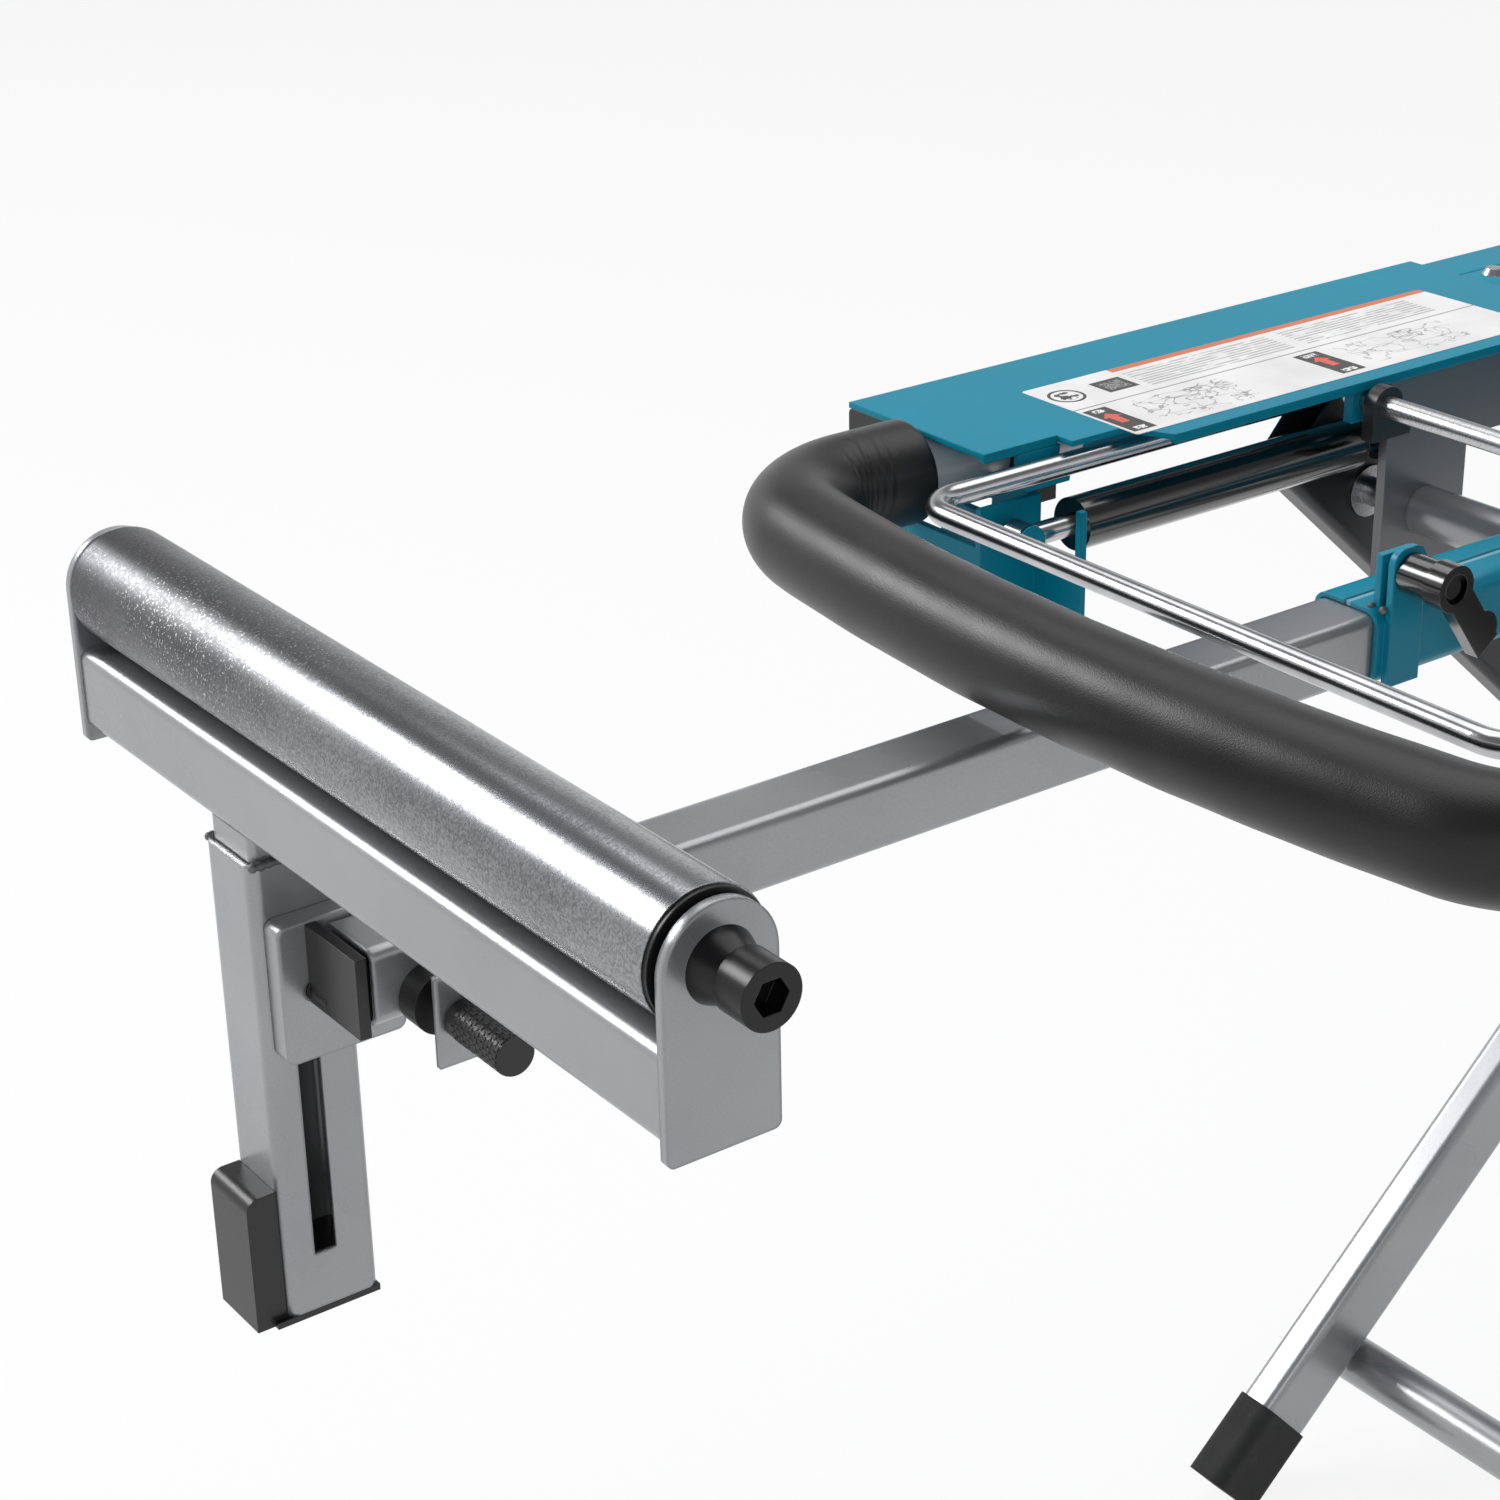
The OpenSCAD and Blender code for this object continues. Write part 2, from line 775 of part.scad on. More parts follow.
// Drop lugs under the top plates: two shelves guide the bail, two carry the latch shaft
module bail_guides() color(teal) {
  latch_lug_z = latch_z - lug_w / 2;
  shelf_z = bail_z - bail_d / 2 - guide_fit - guide_shelf_t;
  web_y = frame_width / 2 - plate_front_w;
  both_sides() {
    translate([-guide_x, web_y, shelf_z])
      cube([guide_length, plate_t, work_height - plate_lip - shelf_z]);
    translate([-guide_x, bail_y, shelf_z])
      linear_extrude(guide_shelf_t)
        polygon([[0, 0],
                 [guide_length, 0],
                 [guide_length + guide_point, guide_shelf_w / 2],
                 [guide_length, guide_shelf_w],
                 [0, guide_shelf_w]]);
    difference() {
      translate([-latch_x - lug_w / 2, plate_inner_y + plate_t, latch_lug_z])
        cube([lug_w, guide_t, rail_top - latch_lug_z]);
      translate([-latch_x, plate_inner_y + plate_t + guide_t / 2, latch_z])
        rod_y(latch_shaft_d + 2 * pin_fit, guide_t + 2 * cut);
    }
  }
}

module frame_bolts() color(zinc) {
  both_sides()
    translate([-beam_offset, rail_inner_y - bolt_inset, beam_top])
      cylinder(d1 = bolt_head_d, d2 = bolt_top_d, h = bolt_head_t);
}

// Release bail and latch

module release_bail() color(zinc) {
  leg_length = bail_front - bail_corner_r - bail_inner_x;
  front_length = 2 * (bail_y - bail_corner_r);
  translate([-bail_front, 0, bail_z])
    rod_y(bail_d, front_length);
  both_sides() {
    translate([-bail_front + bail_corner_r, bail_y - bail_corner_r, bail_z])
      rotate([0, 0, 90])
        rotate_extrude(angle = 90)
          translate([bail_corner_r, 0])
            circle(d = bail_d);
    translate([-bail_front + bail_corner_r, bail_y, bail_z])
      rod_x(bail_d, leg_length);
  }
}

module latch_shaft() color(silver)
  translate([-latch_x, 0, latch_z])
    rod_y(latch_shaft_d, 2 * (plate_inner_y + plate_t + 2 * guide_t));

module hook_outline() {
  difference() {
    union() {
      circle(d = hook_w);
      translate([-hook_w / 2, -hook_reach])
        square([hook_w, hook_reach]);
      translate([-hook_w / 2, -hook_reach])
        square([hook_w + hook_lip, hook_w / 2]);
    }
    circle(d = latch_shaft_d);
    translate([hook_w / 2, -hook_reach + hook_w / 2])
      circle(d = hook_notch);
  }
}

module latch_hooks() color(dark_steel)
  both_sides()
    translate([-latch_x, hook_y - hook_t / 2, latch_z])
      along_y(hook_t)
        hook_outline();

// Wheel legs

module leg_section(depth) {
  ring_section(leg_t, depth, leg_corner, leg_wall);
}

// The horn above the hinge is trimmed level under the top plate; the far one holds the strut's pin
module wheel_legs() color(dark_steel) {
  top = leg_half + leg_horn;
  pin_length = wheel_leg_y - leg_t / 2 + leg_wall - strut_y;
  difference() {
    both_sides()
      wheel_leg_frame()
        difference() {
          translate([-top, wheel_leg_y, 0])
            along_x(top + wheel_leg_lower)
              leg_section(wheel_leg_d);
          translate([-leg_half, wheel_leg_y, 0])
            rod_y(hinge_pin_d + 2 * pin_fit, leg_t + 2 * cut);
          translate([0, wheel_leg_y, 0])
            rod_y(scissor_pin_d, leg_t + 2 * cut);
        }
    translate([-rail_end, -frame_width, work_height - horn_top_drop])
      cube([rail_end, 2 * frame_width, work_height]);
  }
  translate([strut_moving_x, strut_y + pin_length / 2, strut_moving_z])
    rod_y(strut_pin_d, pin_length + strut_eye_w);
}

module wheel_axle() color(zinc) {
  lug_w = axle_d * 2;
  end_y = wheel_mid_y + wheel_w / 2 + turn_gap;
  wheel_leg_frame()
    translate([axle_along, 0, -axle_offset]) {
      rod_y(axle_d, 2 * end_y);
      both_sides() {
        translate([0, end_y + axle_cap_t / 2, 0])
          rod_y(axle_cap_d, axle_cap_t);
        difference() {
          translate([-lug_w / 2, wheel_leg_y - axle_lug_t / 2, 0])
            cube([lug_w, axle_lug_t, axle_offset - wheel_leg_d / 2]);
          translate([0, wheel_leg_y, 0])
            rod_y(axle_d / 2, axle_lug_t + 2 * cut);
        }
      }
    }
}

module scissor_pins() color(zinc) {
  inner = wheel_leg_y - leg_t / 2;
  outer = foot_leg_y + leg_t / 2 + washer_t;
  both_sides()
    translate([0, inner, scissor_z]) {
      translate([0, (outer - inner) / 2, 0])
        rod_y(scissor_pin_d, outer - inner);
      translate([0, -washer_t / 2, 0])
        rod_y(washer_d, washer_t);
      translate([0, outer - inner, 0])
        rod_y(washer_d, washer_t / 2);
    }
}

// Foot legs

module foot_legs() color(silver)
  both_sides()
    foot_leg_frame()
      difference() {
        translate([-leg_half - foot_leg_d / 2, foot_leg_y, 0])
          along_x(leg_half + foot_leg_d / 2 + foot_leg_lower)
            leg_section(foot_leg_d);
        translate([0, foot_leg_y, 0])
          rod_y(scissor_pin_d + 2 * pin_fit, leg_t + 2 * cut);
        translate([-leg_half, foot_leg_y, 0])
          rod_y(slide_pin_d, leg_t + 2 * cut);
      }

// In the foot legs' frame +Z is the underside
module foot_tube() color(silver) {
  lug_w = foot_tube_d;
  foot_leg_frame()
    translate([foot_tube_along, 0, foot_tube_offset]) {
      difference() {
        rod_y(foot_tube_d, 2 * foot_leg_y + leg_t);
        rod_y(foot_tube_d - 2 * foot_tube_wall, 2 * foot_leg_y + leg_t + 2 * cut);
      }
      both_sides()
        translate([-lug_w / 2, foot_leg_y - foot_lug_t / 2, -foot_tube_offset + foot_leg_d / 2])
          cube([lug_w, foot_lug_t, foot_tube_offset - foot_leg_d / 2 - foot_tube_d / 2 + foot_tube_wall]);
    }
}

// Rubber boots on the lower ends, cut flat where they stand
module rubber_feet() color(black)
  difference() {
    both_sides()
      foot_leg_frame()
        difference() {
          translate([boot_end - boot_length, foot_leg_y, 0])
            along_x(boot_length)
              rounded(leg_t + 2 * boot_wall, foot_leg_d + 2 * boot_wall, leg_corner + boot_wall);
          translate([boot_end - boot_length - cut, foot_leg_y, 0])
            along_x(foot_leg_lower - boot_end + boot_length + cut)
              rounded(leg_t, foot_leg_d, leg_corner);
        }
    translate([-rail_length, -frame_width, -work_height])
      cube([2 * rail_length, 2 * frame_width, work_height]);
  }

module slide_rollers() color(black)
  both_sides()
    translate([leg_drop_x, 0, pivot_z]) {
      translate([0, (rail_inner_y - track_web - track_gap + foot_leg_y - leg_t / 2) / 2, 0])
        rod_y(slide_pin_d, rail_inner_y - track_web - track_gap - foot_leg_y + leg_t / 2);
      translate([0, rail_inner_y - track_web - track_gap / 2 - slide_roller_w / 2 - track_gap / 2, 0])
        rod_y(slide_roller_d, slide_roller_w - track_gap);
    }

// Wheels

module wheel_at(side) {
  translate([axle_x, side * wheel_mid_y, axle_z])
    children();
}

module wheel_body() {
  rim_outer = wheel_d - 2 * tyre_depth;
  difference() {
    union() {
      rod_y(wheel_hub_d, wheel_w);
      difference() {
        rod_y(rim_outer, wheel_w - 2 * rim_t);
        rod_y(rim_outer - 2 * rim_t, wheel_w);
      }
      for (i = [0 : spoke_count - 1])
        rotate([0, i * 360 / spoke_count, 0])
          translate([0, -spoke_t / 2, -spoke_w / 2])
            cube([rim_outer / 2 - rim_t / 2, spoke_t, spoke_w]);
    }
    rod_y(axle_d + 2 * pin_fit, wheel_w + 2 * cut);
  }
}

module tyre_body() {
  inner_r = wheel_d / 2 - tyre_depth;
  rotate([90, 0, 0])
    rotate_extrude()
      polygon([[inner_r, -wheel_w / 2 + rim_t],
               [wheel_d / 2 - tyre_shoulder, -wheel_w / 2],
               [wheel_d / 2, -wheel_w / 2 + tyre_shoulder],
               [wheel_d / 2, wheel_w / 2 - tyre_shoulder],
               [wheel_d / 2 - tyre_shoulder, wheel_w / 2],
               [inner_r, wheel_w / 2 - rim_t]]);
}

module far_wheel() color(grey_steel) wheel_at(1) wheel_body();

module near_wheel() color(grey_steel) wheel_at(-1) wheel_body();

module far_tyre() color(black) wheel_at(1) tyre_body();

module near_tyre() color(black) wheel_at(-1) tyre_body();

// Gas strut, made along +X from its fixed pin and then tilted

module strut_frame() {
  translate([strut_fixed_x, strut_y, strut_fixed_z])
    rotate([0, -strut_slope, 0])
      children();
}

module strut_rod() color(zinc)
  strut_frame() {
    difference() {
      union() {
        rod_y(strut_eye_d, strut_eye_w);
        rod_x(strut_rod_d, strut_rod_out + strut_rod_in);
      }
      rod_y(strut_pin_d + 2 * pin_fit, strut_eye_w + 2 * cut);
    }
  }

module strut_cylinder() color(black)
  strut_frame()
    difference() {
      union() {
        translate([strut_rod_out, 0, 0])
          rod_x(strut_d, strut_run - strut_rod_out - strut_end_gap);
        translate([strut_run, 0, 0])
          rod_y(strut_moving_eye_d, strut_eye_w);
        translate([strut_run - strut_end_gap - cut, 0, 0])
          rod_x(strut_rod_d, strut_end_gap - strut_pin_d / 2 - strut_open_gap);
      }
      translate([strut_rod_out - cut, 0, 0])
        rod_x(strut_rod_d + 2 * pin_fit, strut_rod_room + cut);
      translate([strut_run, 0, 0])
        rod_y(strut_pin_d + 2 * strut_open_gap, strut_eye_w + 2 * cut);
    }

// Saw brackets, each a channel across both rails with hooks over their outsides

module saw_bracket() {
  length = frame_width + 2 * (hook_gap + hook_wall);
  top = bracket_bottom + bracket_h;
  difference() {
    union() {
      difference() {
        translate([-bracket_w / 2, -length / 2, bracket_bottom])
          cube([bracket_w, length, bracket_h]);
        translate([-bracket_w / 2 + bracket_wall, -length / 2 - cut, bracket_bottom - cut])
          cube([bracket_w - 2 * bracket_wall, length + 2 * cut, bracket_h - bracket_wall + cut]);
      }
      both_sides()
        translate([-bracket_w / 2, length / 2 - hook_wall, bracket_bottom - hook_drop])
          cube([bracket_w, hook_wall, hook_drop + bracket_h]);
    }
    for (side = [-1, 1])
      translate([0, side * saw_hole_spacing / 2, top - bracket_wall - cut])
        cylinder(d = saw_hole_d, h = bracket_wall + 2 * cut);
    translate([0, -length / 2 + hook_wall / 2, bracket_bottom + bracket_h / 2])
      rod_y(lever_pin_d + 2 * pin_fit, hook_wall + 2 * cut);
  }
}

module left_saw_bracket() color(teal) translate([bracket_mid_x - bracket_spacing / 2, 0, 0]) saw_bracket();

module right_saw_bracket() color(teal) translate([bracket_mid_x + bracket_spacing / 2, 0, 0]) saw_bracket();

module bracket_lever() {
  length = frame_width + 2 * (hook_gap + hook_wall);
  translate([0, -length / 2 - turn_gap, bracket_bottom + bracket_h / 2]) {
    translate([0, -lever_t / 2, 0])
      rod_y(lever_hub_d, lever_t);
    translate([0, (hook_wall + turn_gap) / 2, 0])
      rod_y(lever_pin_d, hook_wall + turn_gap);
    translate([0, -lever_t, -lever_w / 2])
      cube([lever_length, lever_t, lever_w]);
    translate([lever_length, -lever_t / 2, 0])
      rod_y(lever_w, lever_t);
  }
}

module left_bracket_lever() color(black) translate([bracket_mid_x - bracket_spacing / 2, 0, 0]) bracket_lever();

module right_bracket_lever() color(black) translate([bracket_mid_x + bracket_spacing / 2, 0, 0]) bracket_lever();

// One extension, made for the -X end and turned half round for the other

module arm_tube() {
  difference() {
    union() {
      translate([-post_x + arm_start, arm_mid_y, arm_mid_z])
        along_x(arm_length)
          ring_section(arm_w, arm_h, arm_corner, arm_wall);
      pull_bracket();
    }
    translate([-post_x + pull_x, arm_mid_y - arm_w / 2, pull_z])
      rod_y(pull_pin_d + 2 * pin_fit, 2 * arm_wall + pull_bracket_out * 2);
  }
}

// Bent bracket welded under the arm's near face; the pull pin runs through it
module pull_bracket() {
  face_y = arm_mid_y - arm_w / 2;
  bottom = pull_z - pull_bracket_h / 2;
  x0 = -post_x + pull_x - pull_bracket_lead;
  translate([x0, face_y - pull_bracket_out, bottom])
    cube([pull_bracket_w, pull_bracket_t, pull_bracket_h]);
  translate([x0 + pull_bracket_w - pull_bracket_t, face_y - pull_bracket_out, bottom])
    cube([pull_bracket_t, pull_bracket_out + arm_wall / 2, pull_bracket_h]);
}

module saddle() {
  x0 = -post_x + saddle_inset;
  y0 = arm_mid_y + arm_w / 2;
  mid_z = stud_z;
  difference() {
    translate([x0 + saddle_length / 2, y0, mid_z])
      along_y(saddle_depth)
        rounded(saddle_length, saddle_h, saddle_corner);
    translate([x0 + saddle_length / 2, y0 + saddle_t, mid_z])
      along_y(saddle_depth)
        rounded(saddle_length - 2 * saddle_t, saddle_h - 2 * saddle_t, saddle_corner / 2);
    translate([-post_x + stud_x, y0 + saddle_t / 2, mid_z])
      rod_y(stud_hole, saddle_t + 2 * cut);
  }
}

// Flag knob: a flat paddle on a stud that runs through the saddle and the post's slot
module flag_knob() {
  face_y = arm_mid_y + arm_w / 2;
  hub_y = face_y - seat_gap;
  nut_y = post_near_y + post_wall + seat_gap;
  translate([-post_x + stud_x, 0, stud_z]) {
    translate([0, hub_y - knob_hub_length / 2, 0])
      rod_y(knob_hub_d / 2, knob_hub_length);
    translate([-paddle_t / 2, hub_y - paddle_w, -paddle_down])
      cube([paddle_t, paddle_w, paddle_up + paddle_down]);
    translate([0, (hub_y - seat_gap + nut_y) / 2, 0])
      rod_y(stud_d, nut_y - hub_y + 2 * seat_gap);
    translate([0, nut_y + stud_nut_t / 2, 0])
      rod_y(stud_nut_d, stud_nut_t);
  }
}

module pull_pin() {
  face_y = arm_mid_y - arm_w / 2;
  grip_far = face_y - pull_bracket_out - pull_gap;
  base_near = face_y - seat_gap;
  translate([-post_x + pull_x, 0, pull_z]) {
    translate([0, (grip_far + base_near) / 2, 0])
      rod_y(pull_pin_d, base_near - grip_far);
    translate([0, grip_far - pull_grip_length / 2, 0])
      rod_y(pull_grip_d, pull_grip_length);
    translate([0, base_near - pull_base_t / 2, 0])
      rod_y(pull_base_d, pull_base_t);
    translate([0, base_near + arm_wall, 0])
      rod_y(pull_pin_d, 2 * arm_wall + cut);
  }
}

module post() {
  slot_bottom = slot_top - post_slot_length;
  difference() {
    translate([-post_x + post_w / 2, post_mid_y, post_bottom])
      linear_extrude(post_length)
        ring_section(post_w, post_depth, post_corner, post_wall);
    translate([-post_x + stud_x - post_slot_w / 2, post_near_y - cut, slot_bottom])
      cube([post_slot_w, post_wall + 2 * cut, post_slot_length]);
  }
}

// Black stop on the post's outer face, with a plug in the post's open end
module post_stop() {
  inner_w = post_w - 2 * (post_wall + cap_fit);
  inner_d = post_depth - 2 * (post_wall + cap_fit);
  translate([-post_x, post_mid_y, post_bottom]) {
    translate([-stop_out, -post_depth / 2 + stop_corner / 2, -stop_t])
      cube([stop_out, post_depth - stop_corner, stop_h - stop_corner]);
    translate([-stop_out + stop_corner, -post_depth / 2 + stop_corner / 2, stop_h - stop_corner - stop_t - cut])
      cube([stop_out - stop_corner, post_depth - stop_corner, stop_corner + cut]);
    translate([-stop_out + stop_corner, 0, stop_h - stop_corner - stop_t])
      rod_y(2 * stop_corner, post_depth - stop_corner);
    translate([-stop_corner, -post_depth / 2, -stop_t])
      cube([post_w + stop_corner, post_depth, stop_t]);
    translate([post_w / 2, 0, 0])
      linear_extrude(cap_plug)
        rounded(inner_w, inner_d, post_corner / 2);
  }
}

// Bar under the roller with the spigot that stands in the post
module roller_bar() {
  spigot_w = post_w - 2 * (post_wall + spigot_gap);
  spigot_d = post_depth - 2 * (post_wall + spigot_gap);
  bar_length = roller_span - 2 * end_plate_t;
  spigot_top = bar_bottom_z + bar_wall / 2;
  translate([-post_x + roller_mid_x, roller_shift - bar_length / 2, bar_bottom_z + bar_h / 2])
    along_y(bar_length)
      ring_section(bar_w, bar_h, arm_corner, bar_wall);
  translate([-post_x + post_w / 2, post_mid_y, spigot_top - spigot_length])
    linear_extrude(spigot_length)
      ring_section(spigot_w, spigot_d, post_corner / 2, spigot_wall);
}

module end_plate_outline() {
  r = end_plate_w / 2;
  translate([0, roller_rise])
    circle(r = r);
  translate([-r, end_plate_corner])
    square([end_plate_w, roller_rise - end_plate_corner]);
  translate([-r + end_plate_corner, 0])
    square([end_plate_w - 2 * end_plate_corner, end_plate_corner]);
  for (side = [-1, 1])
    translate([side * (r - end_plate_corner), end_plate_corner])
      circle(r = end_plate_corner);
}

module roller_plates() {
  for (side = [-1, 1])
    translate([-post_x + roller_mid_x, roller_shift + side * (roller_span - end_plate_t) / 2 - end_plate_t / 2,
               end_plate_z])
      difference() {
        along_y(end_plate_t)
          end_plate_outline();
        translate([0, end_plate_t / 2, roller_rise])
          rod_y(axle_screw_d, end_plate_t + 2 * cut);
      }
}

module at_roller() {
  translate([-post_x + roller_mid_x, roller_shift, roller_axis_z])
    children();
}

roller_length = roller_span - 2 * (end_plate_t + cap_side_gap + roller_cap_lip);

module roller() {
  at_roller()
    difference() {
      rod_y(roller_d, roller_length);
      rod_y(roller_d - 2 * roller_wall, roller_length + 2 * cut);
    }
}

// Dished plastic ends pressed into the roller tube
module roller_caps() {
  seat_d = roller_d - 2 * (roller_wall + pin_fit);
  at_roller()
    both_sides()
      difference() {
        union() {
          translate([0, roller_length / 2 - bushing_length / 2, 0])
            rod_y(seat_d, bushing_length);
          translate([0, roller_length / 2 + roller_cap_lip / 2, 0])
            rod_y(roller_d - roller_wall, roller_cap_lip);
        }
        rod_y(axle_screw_d + 2 * pin_fit, roller_span);
        translate([0, roller_length / 2 + roller_cap_lip, 0])
          rotate([90, 0, 0])
            cylinder(d1 = seat_d - 2 * cap_rim, d2 = 2 * axle_screw_d, h = cap_dish_t);
      }
}

// Cap screw with a conical spacer outside the near end plate, a nut outside the far one
module axle_screws() {
  plate_face = roller_span / 2;
  shank = end_plate_t + cap_side_gap + roller_cap_lip + bushing_length;
  at_roller() {
    difference() {
      union() {
        translate([0, shank / 2 - plate_face, 0])
          rod_y(axle_screw_d, shank);
        translate([0, -plate_face, 0])
          rotate([90, 0, 0])
            cylinder(d1 = spacer_d, d2 = spacer_tip_d, h = spacer_t);
        translate([0, -plate_face - spacer_t - screw_head_t / 2, 0])
          rod_y(screw_head_d, screw_head_t);
      }
      translate([0, -plate_face - spacer_t - screw_head_t, 0])
        rotate([-90, 0, 0])
          cylinder(d = hex_d, h = hex_depth, $fn = 6);
    }
    translate([0, plate_face - shank / 2, 0])
      rod_y(axle_screw_d, shank);
    translate([0, plate_face, 0])
      rotate([-90, 0, 0])
        cylinder(d = axle_nut_d, h = axle_nut_t, $fn = 6);
  }
}

// Clamp knob on the sleeve's near ear: boss, hub with a recessed screw, and a wing
module clamp_knob() {
  ear_face = arm_mid_y - sleeve_w / 2 - ear_t - clamp_gap;
  screw_end = arm_mid_y - sleeve_w / 2 + ear_gap + 2 * ear_t;
  hub_face = ear_face - clamp_boss_length - clamp_hub_length;
  wing_root = clamp_recess_d / 2 + clamp_gap;
  translate([-sleeve_mouth + ear_setback + ear_w / 2, 0, arm_mid_z + sleeve_h / 2 + clamp_up]) {
    difference() {
      union() {
        translate([0, ear_face - clamp_boss_length / 2, 0])
          rod_y(clamp_boss_d, clamp_boss_length);
        translate([0, hub_face + clamp_hub_length / 2, 0])
          rod_y(clamp_hub_d, clamp_hub_length);
        translate([0, hub_face, 0])
          rotate([0, clamp_lever_angle, 0]) {
            translate([wing_root, 0, -clamp_lever_w / 2])
              cube([clamp_lever_length - wing_root, clamp_lever_t, clamp_lever_w]);
            translate([clamp_lever_length - clamp_tip_d / 2, clamp_lever_t / 2, clamp_tip_d / 2 - clamp_lever_w / 2])
              rod_y(clamp_tip_d, clamp_lever_t);
          }
      }
      translate([0, hub_face + (clamp_recess_depth - cut) / 2, 0])
        rod_y(clamp_recess_d, clamp_recess_depth + cut);
    }
    translate([0, hub_face + clamp_recess_depth, 0])
      rod_y(clamp_head_d, 2 * clamp_head_t);
    translate([0, (ear_face + screw_end) / 2, 0])
      rod_y(clamp_screw_d, screw_end - ear_face);
  }
}

module left_arm() color(silver) arm_tube();
module left_saddle() color(silver) saddle();
module left_flag_knob() color(black) flag_knob();
module left_pull_pin() color(black) pull_pin();
module left_post() color(silver) post();
module left_post_stop() color(black) post_stop();
module left_roller_bar() color(silver) roller_bar();
module left_roller_plates() color(silver) roller_plates();
module left_roller() color(zinc) roller();
module left_roller_caps() color(black) roller_caps();
module left_axle_screws() color(black) axle_screws();
module left_clamp_knob() color(black) clamp_knob();

module right_arm() color(silver) turned() arm_tube();
module right_saddle() color(silver) turned() saddle();
module right_flag_knob() color(black) turned() flag_knob();
module right_pull_pin() color(black) turned() pull_pin();
module right_post() color(silver) turned() post();
module right_post_stop() color(black) turned() post_stop();
module right_roller_bar() color(silver) turned() roller_bar();
module right_roller_plates() color(silver) turned() roller_plates();
module right_roller() color(zinc) turned() roller();
module right_roller_caps() color(black) turned() roller_caps();
module right_axle_screws() color(black) turned() axle_screws();
module right_clamp_knob() color(black) turned() clamp_knob();

side_rails();
top_plates();
rail_caps();
cross_beams();
left_arm_sleeve();
right_arm_sleeve();
handle_tube();
handle_grip();
handle_clamps();
strut_bracket();
leg_brackets();
leg_tube();
hinge_pins();
slide_tracks();
bail_guides();
frame_bolts();
release_bail();
latch_shaft();
latch_hooks();
wheel_legs();
wheel_axle();
scissor_pins();
foot_legs();
foot_tube();
rubber_feet();
slide_rollers();
far_wheel();
far_tyre();
near_wheel();
near_tyre();
strut_rod();
strut_cylinder();
left_saw_bracket();
right_saw_bracket();
left_bracket_lever();
right_bracket_lever();
left_arm();
left_saddle();
left_flag_knob();
left_pull_pin();
left_post();
left_post_stop();
left_roller_bar();
left_roller_plates();
left_roller();
left_roller_caps();
left_axle_screws();
left_clamp_knob();
right_arm();
right_saddle();
right_flag_knob();
right_pull_pin();
right_post();
right_post_stop();
right_roller_bar();
right_roller_plates();
right_roller();
right_roller_caps();
right_axle_screws();
right_clamp_knob();
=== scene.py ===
import json
import math

import bmesh
import bpy
from mathutils import Matrix, Vector, noise

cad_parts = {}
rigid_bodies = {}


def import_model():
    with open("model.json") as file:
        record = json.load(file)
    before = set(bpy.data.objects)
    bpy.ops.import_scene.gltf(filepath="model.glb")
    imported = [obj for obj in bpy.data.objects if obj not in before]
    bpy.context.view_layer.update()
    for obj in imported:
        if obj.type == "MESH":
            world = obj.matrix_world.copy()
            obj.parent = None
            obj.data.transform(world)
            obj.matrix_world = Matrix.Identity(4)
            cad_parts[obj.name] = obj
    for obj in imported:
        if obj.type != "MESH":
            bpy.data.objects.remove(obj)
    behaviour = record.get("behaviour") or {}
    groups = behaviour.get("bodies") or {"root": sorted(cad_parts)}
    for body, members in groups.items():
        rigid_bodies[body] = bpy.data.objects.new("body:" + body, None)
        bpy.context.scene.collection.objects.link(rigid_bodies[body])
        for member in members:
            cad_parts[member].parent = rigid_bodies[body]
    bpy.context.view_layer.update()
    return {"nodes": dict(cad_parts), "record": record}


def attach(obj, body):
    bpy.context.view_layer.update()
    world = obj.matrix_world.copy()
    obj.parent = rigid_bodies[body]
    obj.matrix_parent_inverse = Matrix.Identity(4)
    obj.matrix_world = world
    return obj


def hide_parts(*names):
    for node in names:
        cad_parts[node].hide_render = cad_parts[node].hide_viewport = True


for spare in list(bpy.data.objects):
    bpy.data.objects.remove(spare)

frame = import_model()
nodes = frame["nodes"]
print("frame loaded:", len(nodes), "nodes")


# ---- camera, at the photograph's own angle ----

photoCamera = {
    "place": (-1.6148, -0.9227, 1.3014),   # metres in the stand's own frame
    "turn": 35.759,                        # degrees from +Y toward +X
    "tilt": -24.387,                       # degrees, looking down
    "roll": -1.169,
    "lens": 74.4,                          # mm on a 36 mm sensor
}


def makeCamera(spec):
    data = bpy.data.cameras.new("photoCamera")
    data.sensor_width = 36
    data.lens = spec["lens"]
    data.clip_start = 0.05
    data.clip_end = 100
    camera = bpy.data.objects.new("photoCamera", data)
    bpy.context.scene.collection.objects.link(camera)
    camera.matrix_world = (
        Matrix.Translation(spec["place"])
        @ Matrix.Rotation(math.radians(-spec["turn"]), 4, "Z")
        @ Matrix.Rotation(math.radians(90 + spec["tilt"]), 4, "X")
        @ Matrix.Rotation(math.radians(spec["roll"]), 4, "Z"))
    bpy.context.scene.camera = camera


makeCamera(photoCamera)


# ---- shader maths ----

